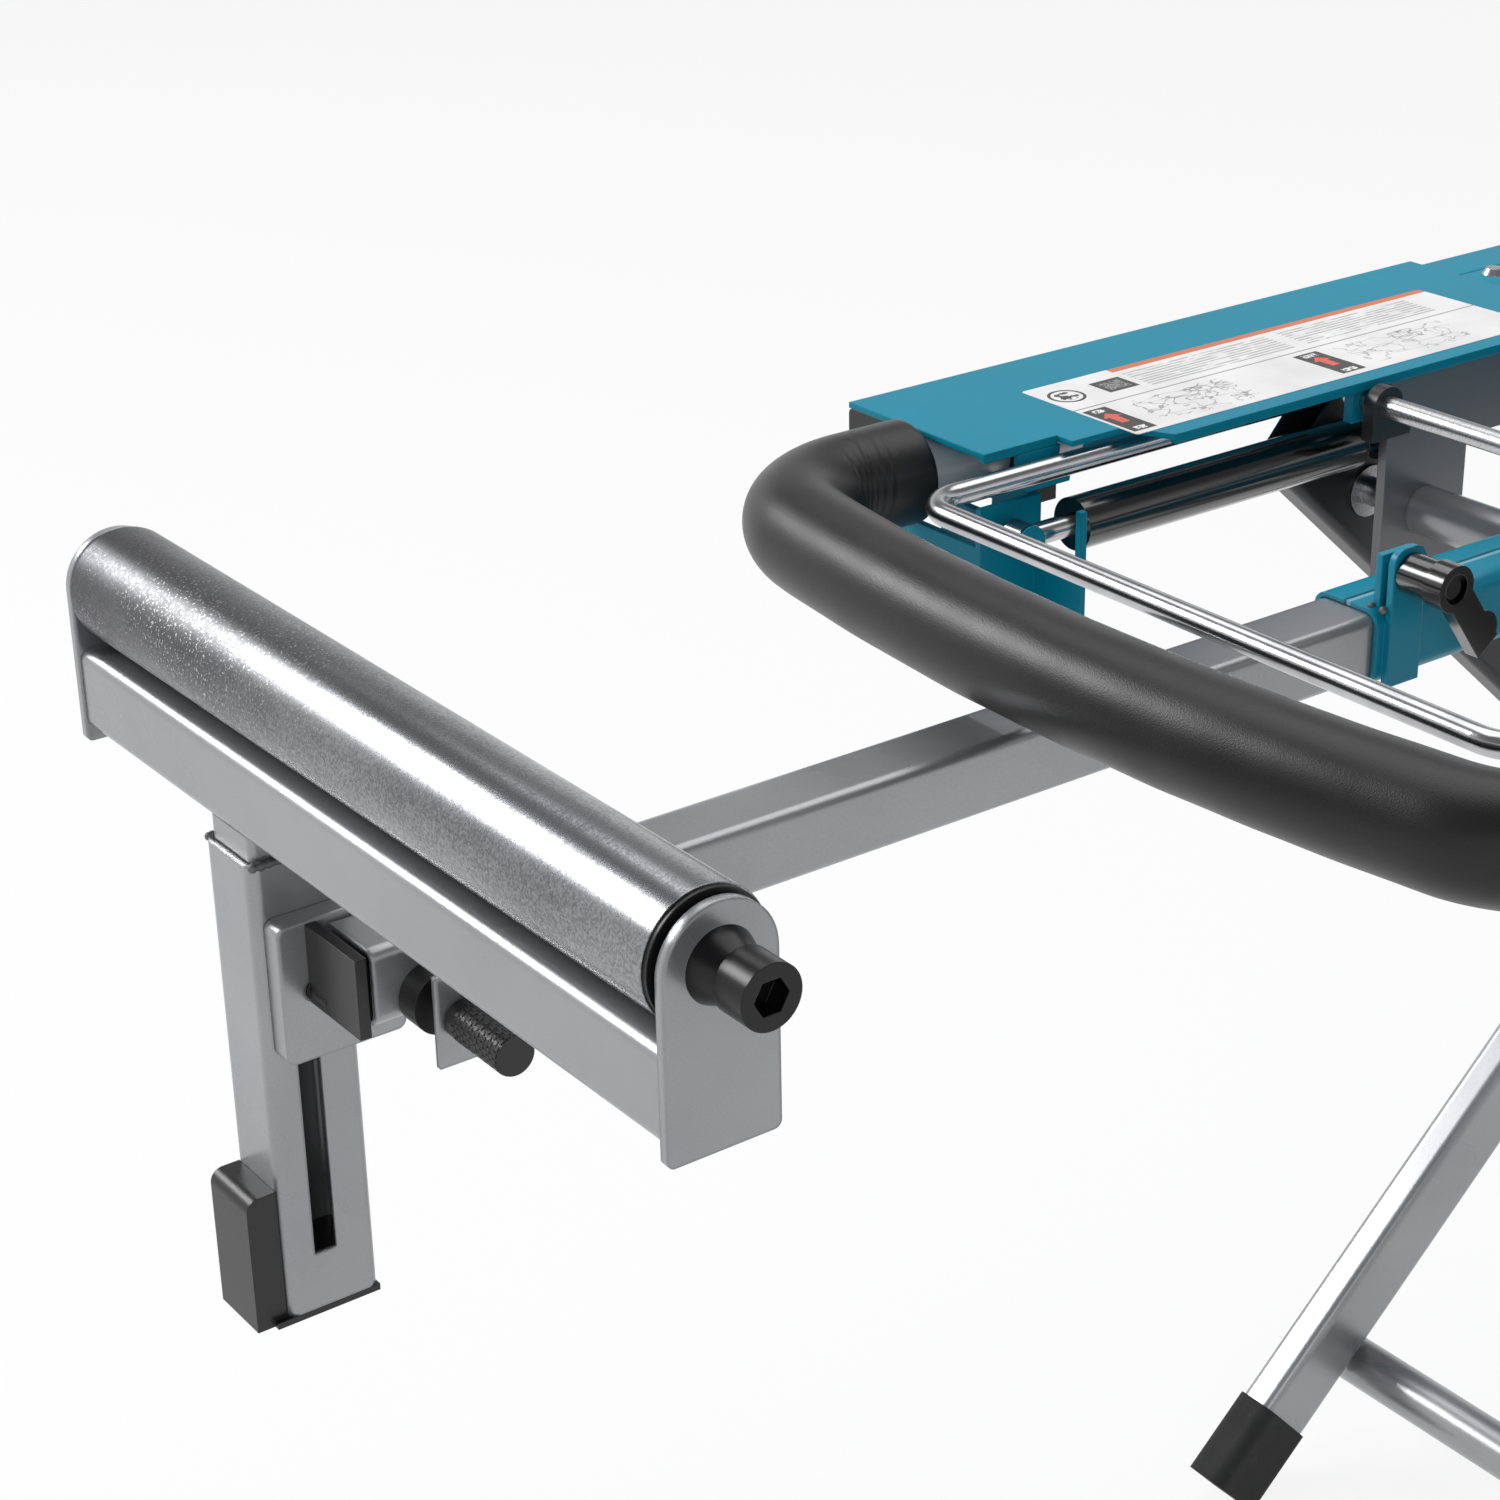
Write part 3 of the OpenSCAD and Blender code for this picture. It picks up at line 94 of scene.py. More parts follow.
class Signal:                              # one output socket, used in sums
    def __init__(self, finish, socket):
        self.finish = finish
        self.socket = socket

    def maths(self, operation, first, second):
        return self.finish.add("ShaderNodeMath", {"operation": operation}, {0: first, 1: second})

    def __add__(self, other): return self.maths("ADD", self, other)
    def __radd__(self, other): return self.maths("ADD", other, self)
    def __sub__(self, other): return self.maths("SUBTRACT", self, other)
    def __rsub__(self, other): return self.maths("SUBTRACT", other, self)
    def __mul__(self, other): return self.maths("MULTIPLY", self, other)
    def __rmul__(self, other): return self.maths("MULTIPLY", other, self)
    def __truediv__(self, other): return self.maths("DIVIDE", self, other)
    def __rtruediv__(self, other): return self.maths("DIVIDE", other, self)
    def __pow__(self, other): return self.maths("POWER", self, other)
    def above(self, other): return self.maths("GREATER_THAN", self, other)
    def below(self, other): return self.maths("LESS_THAN", self, other)
    def size(self): return self.maths("ABSOLUTE", self, 0.0)
    def wave(self): return self.maths("SINE", self, 0.0)


class Finish:                              # one node tree being written
    def __init__(self, tree):
        self.tree = tree
        tree.nodes.clear()

    def add(self, kind, settings=None, sockets=None, take=0):
        node = self.tree.nodes.new(kind)
        for name, value in (settings or {}).items():
            if name == "stops":
                ramp = node.color_ramp
                while len(ramp.elements) < len(value):
                    ramp.elements.new(1)
                for element, (place, colour) in zip(ramp.elements, value):
                    element.position = place
                    element.color = (*colour, 1)
            else:
                setattr(node, name, value)
        for name, value in (sockets or {}).items():
            if isinstance(value, Signal):
                self.tree.links.new(value.socket, node.inputs[name])
            elif isinstance(value, list):
                for one in reversed(value):
                    self.tree.links.new(one.socket, node.inputs[name])
            else:
                node.inputs[name].default_value = value
        return Signal(self, node.outputs[take])

    def place(self, stretch=(1, 1, 1), turn=(0, 0, 0)):
        here = self.add("ShaderNodeTexCoord", take="Object")
        return self.add("ShaderNodeMapping", None, {"Vector": here, "Scale": stretch, "Rotation": turn})

    def axis(self, name):
        here = self.add("ShaderNodeTexCoord", take="Object")
        return self.add("ShaderNodeSeparateXYZ", None, {"Vector": here}, take=name)

    def grain(self, scale, stretch=(1, 1, 1), detail=3, roughness=0.5, turn=(0, 0, 0)):
        return self.add("ShaderNodeTexNoise", None, {
            "Vector": self.place(stretch, turn), "Scale": scale, "Detail": detail, "Roughness": roughness})

    def ramp(self, value, low, high):      # a value from low..high spread over 0..1
        return self.add("ShaderNodeMapRange", {"clamp": True}, {
            "Value": value, "From Min": low, "From Max": high})

    def between(self, factor, first, second):
        return self.add("ShaderNodeMix", {"data_type": "RGBA"}, {0: factor, 6: first, 7: second}, take=2)

    def close(self, shader, output="ShaderNodeOutputMaterial"):
        end = self.tree.nodes.new(output)
        self.tree.links.new(shader.socket, end.inputs["Surface"])


def colour(red, green, blue):              # a written sRGB colour, 0..255, as linear light
    def linear(level):
        level /= 255
        return level / 12.92 if level <= 0.04045 else ((level + 0.055) / 1.055) ** 2.4
    return (linear(red), linear(green), linear(blue), 1)


def startFinish(name):
    material = bpy.data.materials.new(name)
    material.use_nodes = True
    return material, Finish(material.node_tree)


def softEdges(finish, radius, height=None, depth=0.0):
    rounded = finish.add("ShaderNodeBevel", {"samples": 6}, {"Radius": radius})
    if height is None:
        return rounded
    return finish.add("ShaderNodeBump", None, {
        "Strength": 1.0, "Distance": depth, "Height": height, "Normal": rounded})


# ---- paints and metals ----

def satinPaint(name, spec):
    material, finish = startFinish(name)
    cloud = finish.grain(9, detail=4)
    peel = finish.grain(spec["peelScale"], detail=2)
    speck = finish.grain(1500, detail=1)
    blend = finish.ramp(cloud * 0.7 + speck * 0.3, 0.3, 0.7)
    body = finish.between(blend, spec["shade"], spec["tone"])
    scuff = finish.ramp(finish.grain(38, (1, 1, 0.25), 6, 0.7), 0.66, 0.8)
    body = finish.between(scuff * spec["wear"], body, spec["worn"])
    if "seam" in spec:                     # the tube's rolled joint, drawn as painted shade: a dark line, with a painted highlight as a light line beside it
        across = finish.axis("Y").size() + (finish.grain(60, (1, 0, 0)) - 0.5) * 0.0004 - spec["seam"]
        onTop = finish.axis("Z").above(spec["seamAbove"])
        paintedSlitShade = finish.ramp(across.size(), 0.0011, 0.0006) * onTop * 0.85
        paintedSlitHighlight = finish.ramp((across + 0.0024).size(), 0.0016, 0.0006) * onTop * 0.6
        body = finish.between(paintedSlitShade, body, spec["seamPaintedShade"])
        body = finish.between(paintedSlitHighlight, body, spec["seamPaintedHighlight"])
    shader = finish.add("ShaderNodeBsdfPrincipled", None, {
        "Base Color": body,
        "Metallic": spec["metal"],
        "Roughness": spec["rough"] + (cloud - 0.5) * 0.12 + scuff * 0.08,
        "Specular IOR Level": spec["gloss"],
        "Coat Weight": spec["coat"],
        "Coat Roughness": 0.22,
        "Normal": softEdges(finish, spec["edge"], peel, spec["peelDepth"])})
    finish.close(shader)
    return material


tealSpec = {
    "tone": colour(0, 134, 160), "shade": colour(0, 123, 149), "worn": colour(24, 146, 168),
    "metal": 0.0, "rough": 0.4, "gloss": 0.14, "coat": 0.02, "edge": 0.0014,
    "peelScale": 900, "peelDepth": 0.00003, "wear": 0.35,
}
sleeveSpec = {
    **tealSpec, "rough": 0.32, "gloss": 0.3,
    # the joint's two colours: painted shade for the dark line, and a painted highlight for the light line
    # beside it
    "seam": 0.048, "seamAbove": 0.7, "seamPaintedShade": colour(20, 44, 52), "seamPaintedHighlight": colour(150, 196, 206),
}
silverSpec = {
    "tone": colour(166, 167, 169), "shade": colour(146, 147, 149), "worn": colour(192, 193, 194),
    "metal": 0.6, "rough": 0.28, "gloss": 0.5, "coat": 0.15, "edge": 0.0026,
    "peelScale": 1100, "peelDepth": 0.00002, "wear": 0.3,
}
# a lighter copy of the silver for the handle tube: painted light, standing in for the light it misses in the
# shade under the plate
paintedLightTubeSpec = {
    **silverSpec, "tone": colour(216, 216, 217), "shade": colour(196, 196, 198), "metal": 0.3,
}
darkSpec = {
    "tone": colour(60, 60, 62), "shade": colour(46, 46, 48), "worn": colour(100, 100, 102),
    "metal": 0.55, "rough": 0.4, "gloss": 0.5, "coat": 0.08, "edge": 0.0008,
    "peelScale": 1000, "peelDepth": 0.00003, "wear": 0.4,
}
greySpec = {
    "tone": colour(124, 124, 126), "shade": colour(104, 104, 106), "worn": colour(156, 156, 158),
    "metal": 0.6, "rough": 0.4, "gloss": 0.5, "coat": 0.06, "edge": 0.0008,
    "peelScale": 1000, "peelDepth": 0.00003, "wear": 0.4,
}


def zincPlate(name, spec):                 # spangled, and dull and flecked toward one end
    material, finish = startFinish(name)
    crystals = finish.add("ShaderNodeTexVoronoi", {"feature": "F1"}, {
        "Vector": finish.place(), "Scale": spec["spangle"], "Randomness": 1.0}, take="Color")
    facet = finish.add("ShaderNodeSeparateColor", None, {"Color": crystals})
    fine = finish.grain(1300, detail=4, roughness=0.75)
    cloud = finish.grain(26, (1, 0.35, 1), 5, 0.6)
    streak = finish.grain(70, (1, 0.04, 1), 3)
    mottle = finish.ramp(facet * 0.2 + fine * 0.25 + cloud * 0.55, 0.36, 0.64)
    body = finish.between(mottle, spec["shade"], spec["tone"])
    patchy = finish.grain(16, (1, 0.6, 1), 6, 0.65)
    along = finish.axis("Y") * spec["fadeSide"] + (patchy - 0.5) * 0.3
    away = finish.ramp(along, spec["fadeFrom"], spec["fadeTo"])
    body = finish.between(away * spec["fade"], body, spec["dull"])
    fleck = finish.grain(900, detail=2).above(0.635) * finish.ramp(patchy, 0.4, 0.6) * (away * 0.6 + 0.12)
    body = finish.between(fleck * spec["fleck"], body, spec["bright"])
    shader = finish.add("ShaderNodeBsdfPrincipled", None, {
        "Base Color": body,
        "Metallic": 1.0,
        "Roughness": spec["rough"] + (1 - mottle) * 0.1 + (streak - 0.5) * 0.1 + away * 0.14,
        "Normal": softEdges(finish, 0.0006, fine, spec["depth"])})
    finish.close(shader)
    return material


zincSpec = {
    "tone": colour(156, 157, 159), "shade": colour(108, 109, 112),
    "spangle": 1100, "rough": 0.2, "depth": 0.000006,
    "fadeSide": 1.0, "fadeFrom": -0.02, "fadeTo": 0.2, "fade": 0.85, "dull": colour(70, 70, 72),
    "fleck": 0.9, "bright": colour(238, 238, 239),
}
screwZincSpec = {
    "tone": colour(196, 197, 199), "shade": colour(150, 150, 152),
    "spangle": 1600, "rough": 0.26, "depth": 0.00002,
    "fadeSide": 0.0, "fadeFrom": 0.4, "fadeTo": 0.6, "fade": 0.4, "dull": colour(120, 120, 122),
    "fleck": 0.3, "bright": colour(226, 226, 227),
}


def polishedWire(name, spec):
    material, finish = startFinish(name)
    drawn = finish.grain(420, (0.05, 0.05, 1), 3)
    cloud = finish.grain(30, detail=4)
    body = finish.between(finish.ramp(cloud, 0.35, 0.65), spec["shade"], spec["tone"])
    shader = finish.add("ShaderNodeBsdfPrincipled", None, {
        "Base Color": body,
        "Metallic": 1.0,
        "Roughness": spec["rough"] + (drawn - 0.5) * 0.1,
        "Normal": finish.add("ShaderNodeBump", None, {
            "Strength": 1.0, "Distance": 0.00001, "Height": drawn})})
    finish.close(shader)
    return material


chromeSpec = {"tone": colour(196, 196, 198), "shade": colour(170, 170, 173), "rough": 0.2}


# ---- plastics and rubber ----

def mouldedPlastic(name, spec):
    material, finish = startFinish(name)
    texture = finish.grain(spec["grainScale"], detail=3, roughness=0.6)
    cloud = finish.grain(40, detail=4)
    dust = finish.ramp(finish.grain(120, detail=6, roughness=0.7), 0.62, 0.82)
    body = finish.between(finish.ramp(cloud, 0.3, 0.7), spec["shade"], spec["tone"])
    body = finish.between(dust * spec["dust"], body, spec["worn"])
    shader = finish.add("ShaderNodeBsdfPrincipled", None, {
        "Base Color": body,
        "Roughness": spec["rough"] + (texture - 0.5) * 0.16,
        "Specular IOR Level": spec["gloss"],
        "Coat Weight": spec["coat"],
        "Coat Roughness": 0.12,
        "Normal": softEdges(finish, spec["edge"], texture, spec["grainDepth"])})
    finish.close(shader)
    return material


blackPlasticSpec = {
    "tone": colour(19, 19, 20), "shade": colour(13, 13, 14), "worn": colour(56, 56, 56),
    "rough": 0.38, "gloss": 0.5, "coat": 0.0, "edge": 0.0006,
    "grainScale": 2200, "grainDepth": 0.00003, "dust": 0.25,
}
wheelGreySpec = {
    "tone": colour(104, 106, 108), "shade": colour(92, 94, 96), "worn": colour(140, 141, 142),
    "rough": 0.46, "gloss": 0.5, "coat": 0.0, "edge": 0.0012,
    "grainScale": 1400, "grainDepth": 0.00005, "dust": 0.3,
}
glossBlackSpec = {
    "tone": colour(10, 10, 11), "shade": colour(6, 6, 7), "worn": colour(44, 44, 44),
    "rough": 0.2, "gloss": 0.5, "coat": 0.9, "edge": 0.0006,
    "grainScale": 500, "grainDepth": 0.00001, "dust": 0.08,
}
blackSteelSpec = {
    "tone": colour(24, 24, 26), "shade": colour(14, 14, 16), "worn": colour(84, 84, 86),
    "metal": 0.5, "rough": 0.3, "gloss": 0.5, "coat": 0.1, "edge": 0.0006,
    "peelScale": 1800, "peelDepth": 0.00002, "wear": 0.5,
}
tyreSpec = {
    "tone": colour(38, 38, 38), "shade": colour(26, 26, 26), "worn": colour(92, 90, 86),
    "rough": 0.72, "gloss": 0.35, "coat": 0.0, "edge": 0.0008,
    "grainScale": 900, "grainDepth": 0.00008, "dust": 0.35,
}


def closedFoam(name, spec):
    material, finish = startFinish(name)
    cells = finish.add("ShaderNodeTexVoronoi", {"feature": "SMOOTH_F1"}, {
        "Vector": finish.place(), "Scale": spec["cells"], "Smoothness": 0.6})
    cloud = finish.grain(22, detail=5)
    rub = finish.ramp(finish.grain(60, (0.4, 1, 1), 6, 0.7), 0.5, 0.8)
    body = finish.between(finish.ramp(cloud, 0.3, 0.7), spec["shade"], spec["tone"])
    body = finish.between(rub * 0.3, body, spec["worn"])
    shader = finish.add("ShaderNodeBsdfPrincipled", None, {
        "Base Color": body,
        "Roughness": spec["rough"] + (cloud - 0.5) * 0.16,
        "Specular IOR Level": 0.4,
        "Sheen Weight": 0.04,
        "Sheen Roughness": 0.45,
        "Normal": finish.add("ShaderNodeBump", None, {
            "Strength": 1.0, "Distance": spec["cellDepth"], "Height": cells + cloud * 0.8})})
    finish.close(shader)
    return material


foamSpec = {
    "tone": colour(20, 20, 21), "shade": colour(14, 14, 15), "worn": colour(30, 30, 31),
    "rough": 0.38, "cells": 1500, "cellDepth": 0.00005,
}

teal = satinPaint("tealPaint", tealSpec)
silver = satinPaint("silverPaint", silverSpec)
sleeveTeal = satinPaint("sleeveTeal", sleeveSpec)
paintedLightTubeSilver = satinPaint("paintedLightTubeSilver", paintedLightTubeSpec)
darkGrey = satinPaint("darkGreyPaint", darkSpec)
greySteel = satinPaint("greySteelPaint", greySpec)
blackSteel = satinPaint("blackOxide", blackSteelSpec)
rollerZinc = zincPlate("rollerZinc", zincSpec)
screwZinc = zincPlate("screwZinc", screwZincSpec)
chrome = polishedWire("chromeWire", chromeSpec)
blackPlastic = mouldedPlastic("blackPlastic", blackPlasticSpec)
wheelGrey = mouldedPlastic("wheelGreyPlastic", wheelGreySpec)
glossBlack = mouldedPlastic("glossBlackEnamel", glossBlackSpec)
tyreRubber = mouldedPlastic("tyreRubber", tyreSpec)
foam = closedFoam("gripFoam", foamSpec)
print("finishes made:", len(bpy.data.materials))

finishOfSlot = {
    "teal_paint": teal, "silver_paint": silver, "zinc": screwZinc, "chrome": chrome,
    "dark_paint": darkGrey, "grey_paint": greySteel, "foam": foam, "black_plastic": blackPlastic,
    "black_gloss": glossBlack, "black_steel": blackSteel, "wheel_grey": wheelGrey, "tyre": tyreRubber,
}
finishOfNode = {
    "left_roller": rollerZinc, "right_roller": rollerZinc,
    "left_arm_sleeve": sleeveTeal, "right_arm_sleeve": sleeveTeal, "handle_tube": paintedLightTubeSilver,
    "left_clamp_knob": glossBlack, "right_clamp_knob": glossBlack,
}

for part in frame["record"]["subparts"]:
    node = nodes[part["node"]]
    node.data.materials.clear()
    node.data.materials.append(finishOfNode.get(part["node"], finishOfSlot[part["material_slot"]]))


# ---- mesh helpers ----

def keepPiece(name, shape, material, body):
    shape.name = name
    piece = bpy.data.objects.new(name, shape)
    bpy.context.scene.collection.objects.link(piece)
    if not shape.materials:
        shape.materials.append(material)
    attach(piece, body)
    return piece


def closeMesh(name, build, smooth=True):
    bmesh.ops.recalc_face_normals(build, faces=build.faces)
    shape = bpy.data.meshes.new(name)
    build.to_mesh(shape)
    build.free()
    for face in shape.polygons:
        face.use_smooth = smooth
    return shape


# ---- foam grip, on the bent tube ----

gripSpec = {
    "height": 0.7727, "radius": 0.0274, "bore": 0.0194, "rim": 0.003,
    "endX": -0.664, "legY": 0.254, "cornerX": -0.70436, "cornerY": 0.193, "cornerR": 0.061,
    "bowX": 0.479, "bowR": 1.26, "bowHalf": 9.263,
    "step": 0.0018, "around": 64,
    # creases near each bend: distance from the end, angle round the tube, half width, depth, slant
    "creases": (
        (0.0270, 150, 30, 0.0011, 0.10), (0.0325, 146, 34, 0.0014, 0.12), (0.0375, 150, 30, 0.0010, 0.14),
        (0.0435, 148, 36, 0.0014, 0.16), (0.0490, 152, 26, 0.0009, 0.16), (0.0560, 148, 28, 0.0007, 0.16)),
}


def gripPath(spec):                        # points and headings from the far end round to the near end
    points = []
    start = Vector((spec["endX"], spec["legY"], 0))
    legLength = spec["endX"] - spec["cornerX"]
    sweep = math.radians(90 - spec["bowHalf"])
    half = math.radians(spec["bowHalf"])
    corner = spec["cornerR"] * sweep
    lengths = [legLength, corner, spec["bowR"] * 2 * half, corner, legLength]
    total = sum(lengths)
    count = int(total / spec["step"])
    for i in range(count + 1):
        s = total * i / count
        mirrored = s > total / 2
        along = total - s if mirrored else s
        if along <= lengths[0]:
            place = start + Vector((-along, 0, 0))
            heading = Vector((-1, 0, 0))
        elif along <= lengths[0] + lengths[1]:
            angle = math.radians(90) + (along - lengths[0]) / spec["cornerR"]
            middle = Vector((spec["cornerX"], spec["cornerY"], 0))
            place = middle + spec["cornerR"] * Vector((math.cos(angle), math.sin(angle), 0))
            heading = Vector((-math.sin(angle), math.cos(angle), 0))
        else:
            angle = math.pi - half + (along - lengths[0] - lengths[1]) / spec["bowR"]
            middle = Vector((spec["bowX"], 0, 0))
            place = middle + spec["bowR"] * Vector((math.cos(angle), math.sin(angle), 0))
            heading = Vector((-math.sin(angle), math.cos(angle), 0))
        if mirrored:
            place.y = -place.y
            heading.x = -heading.x
        place.z = spec["height"]
        points.append((s, place, heading))
    return points, total


def makeGrip(spec):
    build = bmesh.new()
    points, total = gripPath(spec)
    rings = []
    for s, place, heading in points:
        side = Vector((heading.y, -heading.x, 0))          # toward the outside of the loop
        fromEnd = min(s, total - s)
        shrink = 0.0
        if fromEnd < spec["rim"]:
            shrink = spec["rim"] - math.sqrt(max(0, spec["rim"] ** 2 - (spec["rim"] - fromEnd) ** 2))
        ring = []
        for k in range(spec["around"]):
            angle = 2 * math.pi * k / spec["around"]
            outward = math.cos(angle) * side + math.sin(angle) * Vector((0, 0, 1))
            radius = spec["radius"] - shrink
            radius += 0.00035 * noise.noise(place * 28 + outward * 0.9)
            for where, middle, width, depth, slant in spec["creases"]:
                apart = (math.degrees(angle) - middle + 180) % 360 - 180
                if abs(apart) < width * 1.6:
                    shift = fromEnd - where - slant * 0.02 * math.radians(apart) * 2
                    fold = math.exp(-(shift / 0.0011) ** 2)
                    swell = math.exp(-((shift - 0.0028) / 0.0016) ** 2)
                    dip = fold - 0.45 * swell
                    radius -= depth * dip * math.exp(-(apart / width) ** 2)
            ring.append(build.verts.new(place + radius * outward))
        rings.append(ring)
    for first, second in zip(rings, rings[1:]):
        for k in range(spec["around"]):
            n = (k + 1) % spec["around"]
            build.faces.new((first[k], first[n], second[n], second[k]))
    ends = ((rings[0], points[0], 1), (rings[-1], points[-1], -1))
    for ring, (s, place, heading), inward in ends:
        side = Vector((heading.y, -heading.x, 0))
        previous = ring
        for radius, back in ((spec["bore"] + 0.0006, 0.0), (spec["bore"], 0.0008), (spec["bore"], 0.006)):
            row = []
            for k in range(spec["around"]):
                angle = 2 * math.pi * k / spec["around"]
                outward = math.cos(angle) * side + math.sin(angle) * Vector((0, 0, 1))
                row.append(build.verts.new(place + radius * outward + heading * back * inward))
            for k in range(spec["around"]):
                n = (k + 1) % spec["around"]
                build.faces.new((previous[k], previous[n], row[n], row[k]))
            previous = row
        build.faces.new(previous)
    shape = closeMesh("foamGrip", build)
    grip = keepPiece("foamGrip", shape, foam, "frame")
    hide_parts("handle_grip")
    return grip


makeGrip(gripSpec)
print("foam grip made")


# ---- printed plate on the far top plate, its lettering left out ----

labelSpec = {
    "left": -0.5800, "right": -0.2770, "low": 0.1730, "high": 0.2630, "corner": 0.002,
    "under": 0.7949, "top": 0.79522,
    "paper": colour(234, 234, 233), "shade": colour(218, 218, 217), "ink": colour(38, 38, 38),
    "faint": colour(140, 140, 140), "orange": colour(206, 104, 62), "red": colour(214, 84, 62),
    "stripe": (-0.5200, -0.2768, 0.2575, 0.2632), "divider": 0.2212,
    "boxes": ((-0.5782, -0.5625, 0.177, 0.217), (-0.4268, -0.4090, 0.178, 0.216)),
    "blocks": ((-0.518, -0.412, 0.2275, 0.2545), (-0.402, -0.300, 0.2275, 0.2545)),
    "sketches": ((-0.552, -0.484, 0.179, 0.215), (-0.398, -0.316, 0.181, 0.214)),
    "ring": (-0.566, 0.2425, 0.0095), "square": (-0.5440, -0.5230, 0.2325, 0.2505),
}


def printedPlate(spec):
    material, finish = startFinish("printedPlate")
    x, y = finish.axis("X"), finish.axis("Y")
    fine = finish.grain(700, detail=3)

    def patch(left, right, low, high):
        return x.above(left) * x.below(right) * y.above(low) * y.below(high)

    body = finish.between(finish.ramp(finish.grain(24, detail=5), 0.3, 0.7), spec["shade"], spec["paper"])
    ruled = (y * 1900).wave().above(0.15) * finish.ramp(finish.grain(90, (1, 3, 1), 4), 0.36, 0.5)
    for block in spec["blocks"]:
        body = finish.between(patch(*block) * ruled * 0.75, body, spec["faint"])
    for sketch in spec["sketches"]:
        lines = finish.ramp((finish.grain(70, detail=2) - 0.5).size(), 0.018, 0.006)
        rods = finish.ramp((finish.grain(46, (1, 2.4, 1), 1) - 0.46).size(), 0.02, 0.006)
        body = finish.between(patch(*sketch) * (lines + rods) * 0.85, body, spec["faint"])
    body = finish.between(patch(*spec["stripe"]), body, spec["orange"])
    body = finish.between((y - spec["divider"]).size().below(0.0006), body, spec["faint"])
    for left, right, low, high in spec["boxes"]:
        middle, centre = (left + right) / 2, low + (high - low) * 0.54
        body = finish.between(patch(left, right, low, high), body, spec["ink"])
        shaft = patch(middle - 0.0028, middle + 0.0028, centre - 0.007, centre + 0.005)
        taper = ((x - middle).size() + (y - centre) * 0.9).below(0.0088)
        head = patch(left, right, centre + 0.003, centre + 0.0095) * taper
        body = finish.between(finish.ramp(shaft + head, 0.0, 1.0), body, spec["red"])
        for start in (low + 0.0018, high - 0.0065):
            stub = patch(left + 0.004, right - 0.004, start, start + 0.0045) * fine.above(0.46)
            body = finish.between(stub, body, spec["paper"])
    ringX, ringY, reach = spec["ring"]
    away = ((x - ringX) ** 2 + (y - ringY) ** 2) ** 0.5
    body = finish.between((away - reach).size().below(0.0009), body, spec["ink"])
    blot = away.below(reach * 0.7) * finish.grain(260, detail=2).above(0.52)
    body = finish.between(blot, body, spec["ink"])
    left, right, low, high = spec["square"]
    body = finish.between(patch(left, right, low, high), body, spec["ink"])
    inner = patch(left + 0.003, right - 0.003, low + 0.003, high - 0.003) * fine.above(0.48)
    body = finish.between(inner, body, spec["faint"])
    shader = finish.add("ShaderNodeBsdfPrincipled", None, {
        "Base Color": body,
        "Roughness": 0.42 + (fine - 0.5) * 0.1,
        "Coat Weight": 0.15,
        "Coat Roughness": 0.2,
        "Normal": finish.add("ShaderNodeBump", None, {
            "Strength": 1.0, "Distance": 0.00002, "Height": finish.grain(180, detail=3)})})
    finish.close(shader)
    return material


def makeLabel(spec):
    build = bmesh.new()
    outline = []
    for x, y, start in ((spec["right"], spec["high"], 0), (spec["left"], spec["high"], 90),
                        (spec["left"], spec["low"], 180), (spec["right"], spec["low"], 270)):
        inX = x - spec["corner"] * math.copysign(1, x - (spec["left"] + spec["right"]) / 2)
        inY = y - spec["corner"] * math.copysign(1, y - (spec["low"] + spec["high"]) / 2)
        for step in range(6):
            angle = math.radians(start + 18 * step)
            outline.append((inX + spec["corner"] * math.cos(angle),
                            inY + spec["corner"] * math.sin(angle)))
    top = [build.verts.new((x, y, spec["top"])) for x, y in outline]
    under = [build.verts.new((x, y, spec["under"])) for x, y in outline]
    build.faces.new(top)
    build.faces.new(under[::-1])
    for k in range(len(top)):
        n = (k + 1) % len(top)
        build.faces.new((top[k], under[k], under[n], top[n]))
    shape = closeMesh("printedLabel", build, smooth=False)
    return keepPiece("printedLabel", shape, printedPlate(spec), "frame")


makeLabel(labelSpec)
print("printed label made")


# ---- repeated shapes: one tree lays shapes along a line, one sets blocks round a wheel ----

def openTree(name, inputs):
    tree = bpy.data.node_groups.new(name, "GeometryNodeTree")
    graph = Finish(tree)
    named = {}
    for label, kind, value in (("Geometry", "NodeSocketGeometry", None), *inputs):
        socket = tree.interface.new_socket(label, in_out="INPUT", socket_type=kind)
        if value is not None:
            socket.default_value = value
        named[label] = socket.identifier
    tree.interface.new_socket("Geometry", in_out="OUTPUT", socket_type="NodeSocketGeometry")
    given = tree.nodes.new("NodeGroupInput")
    ends = {label: Signal(graph, given.outputs[label]) for label in named}
    return graph, ends, named


def closeTree(graph, shapes, material):
    solid = graph.add("GeometryNodeRealizeInstances", None, {"Geometry": shapes})
    painted = graph.add("GeometryNodeSetMaterial", None, {"Geometry": solid, "Material": material})
    end = graph.tree.nodes.new("NodeGroupOutput")
    graph.tree.links.new(painted.socket, end.inputs["Geometry"])


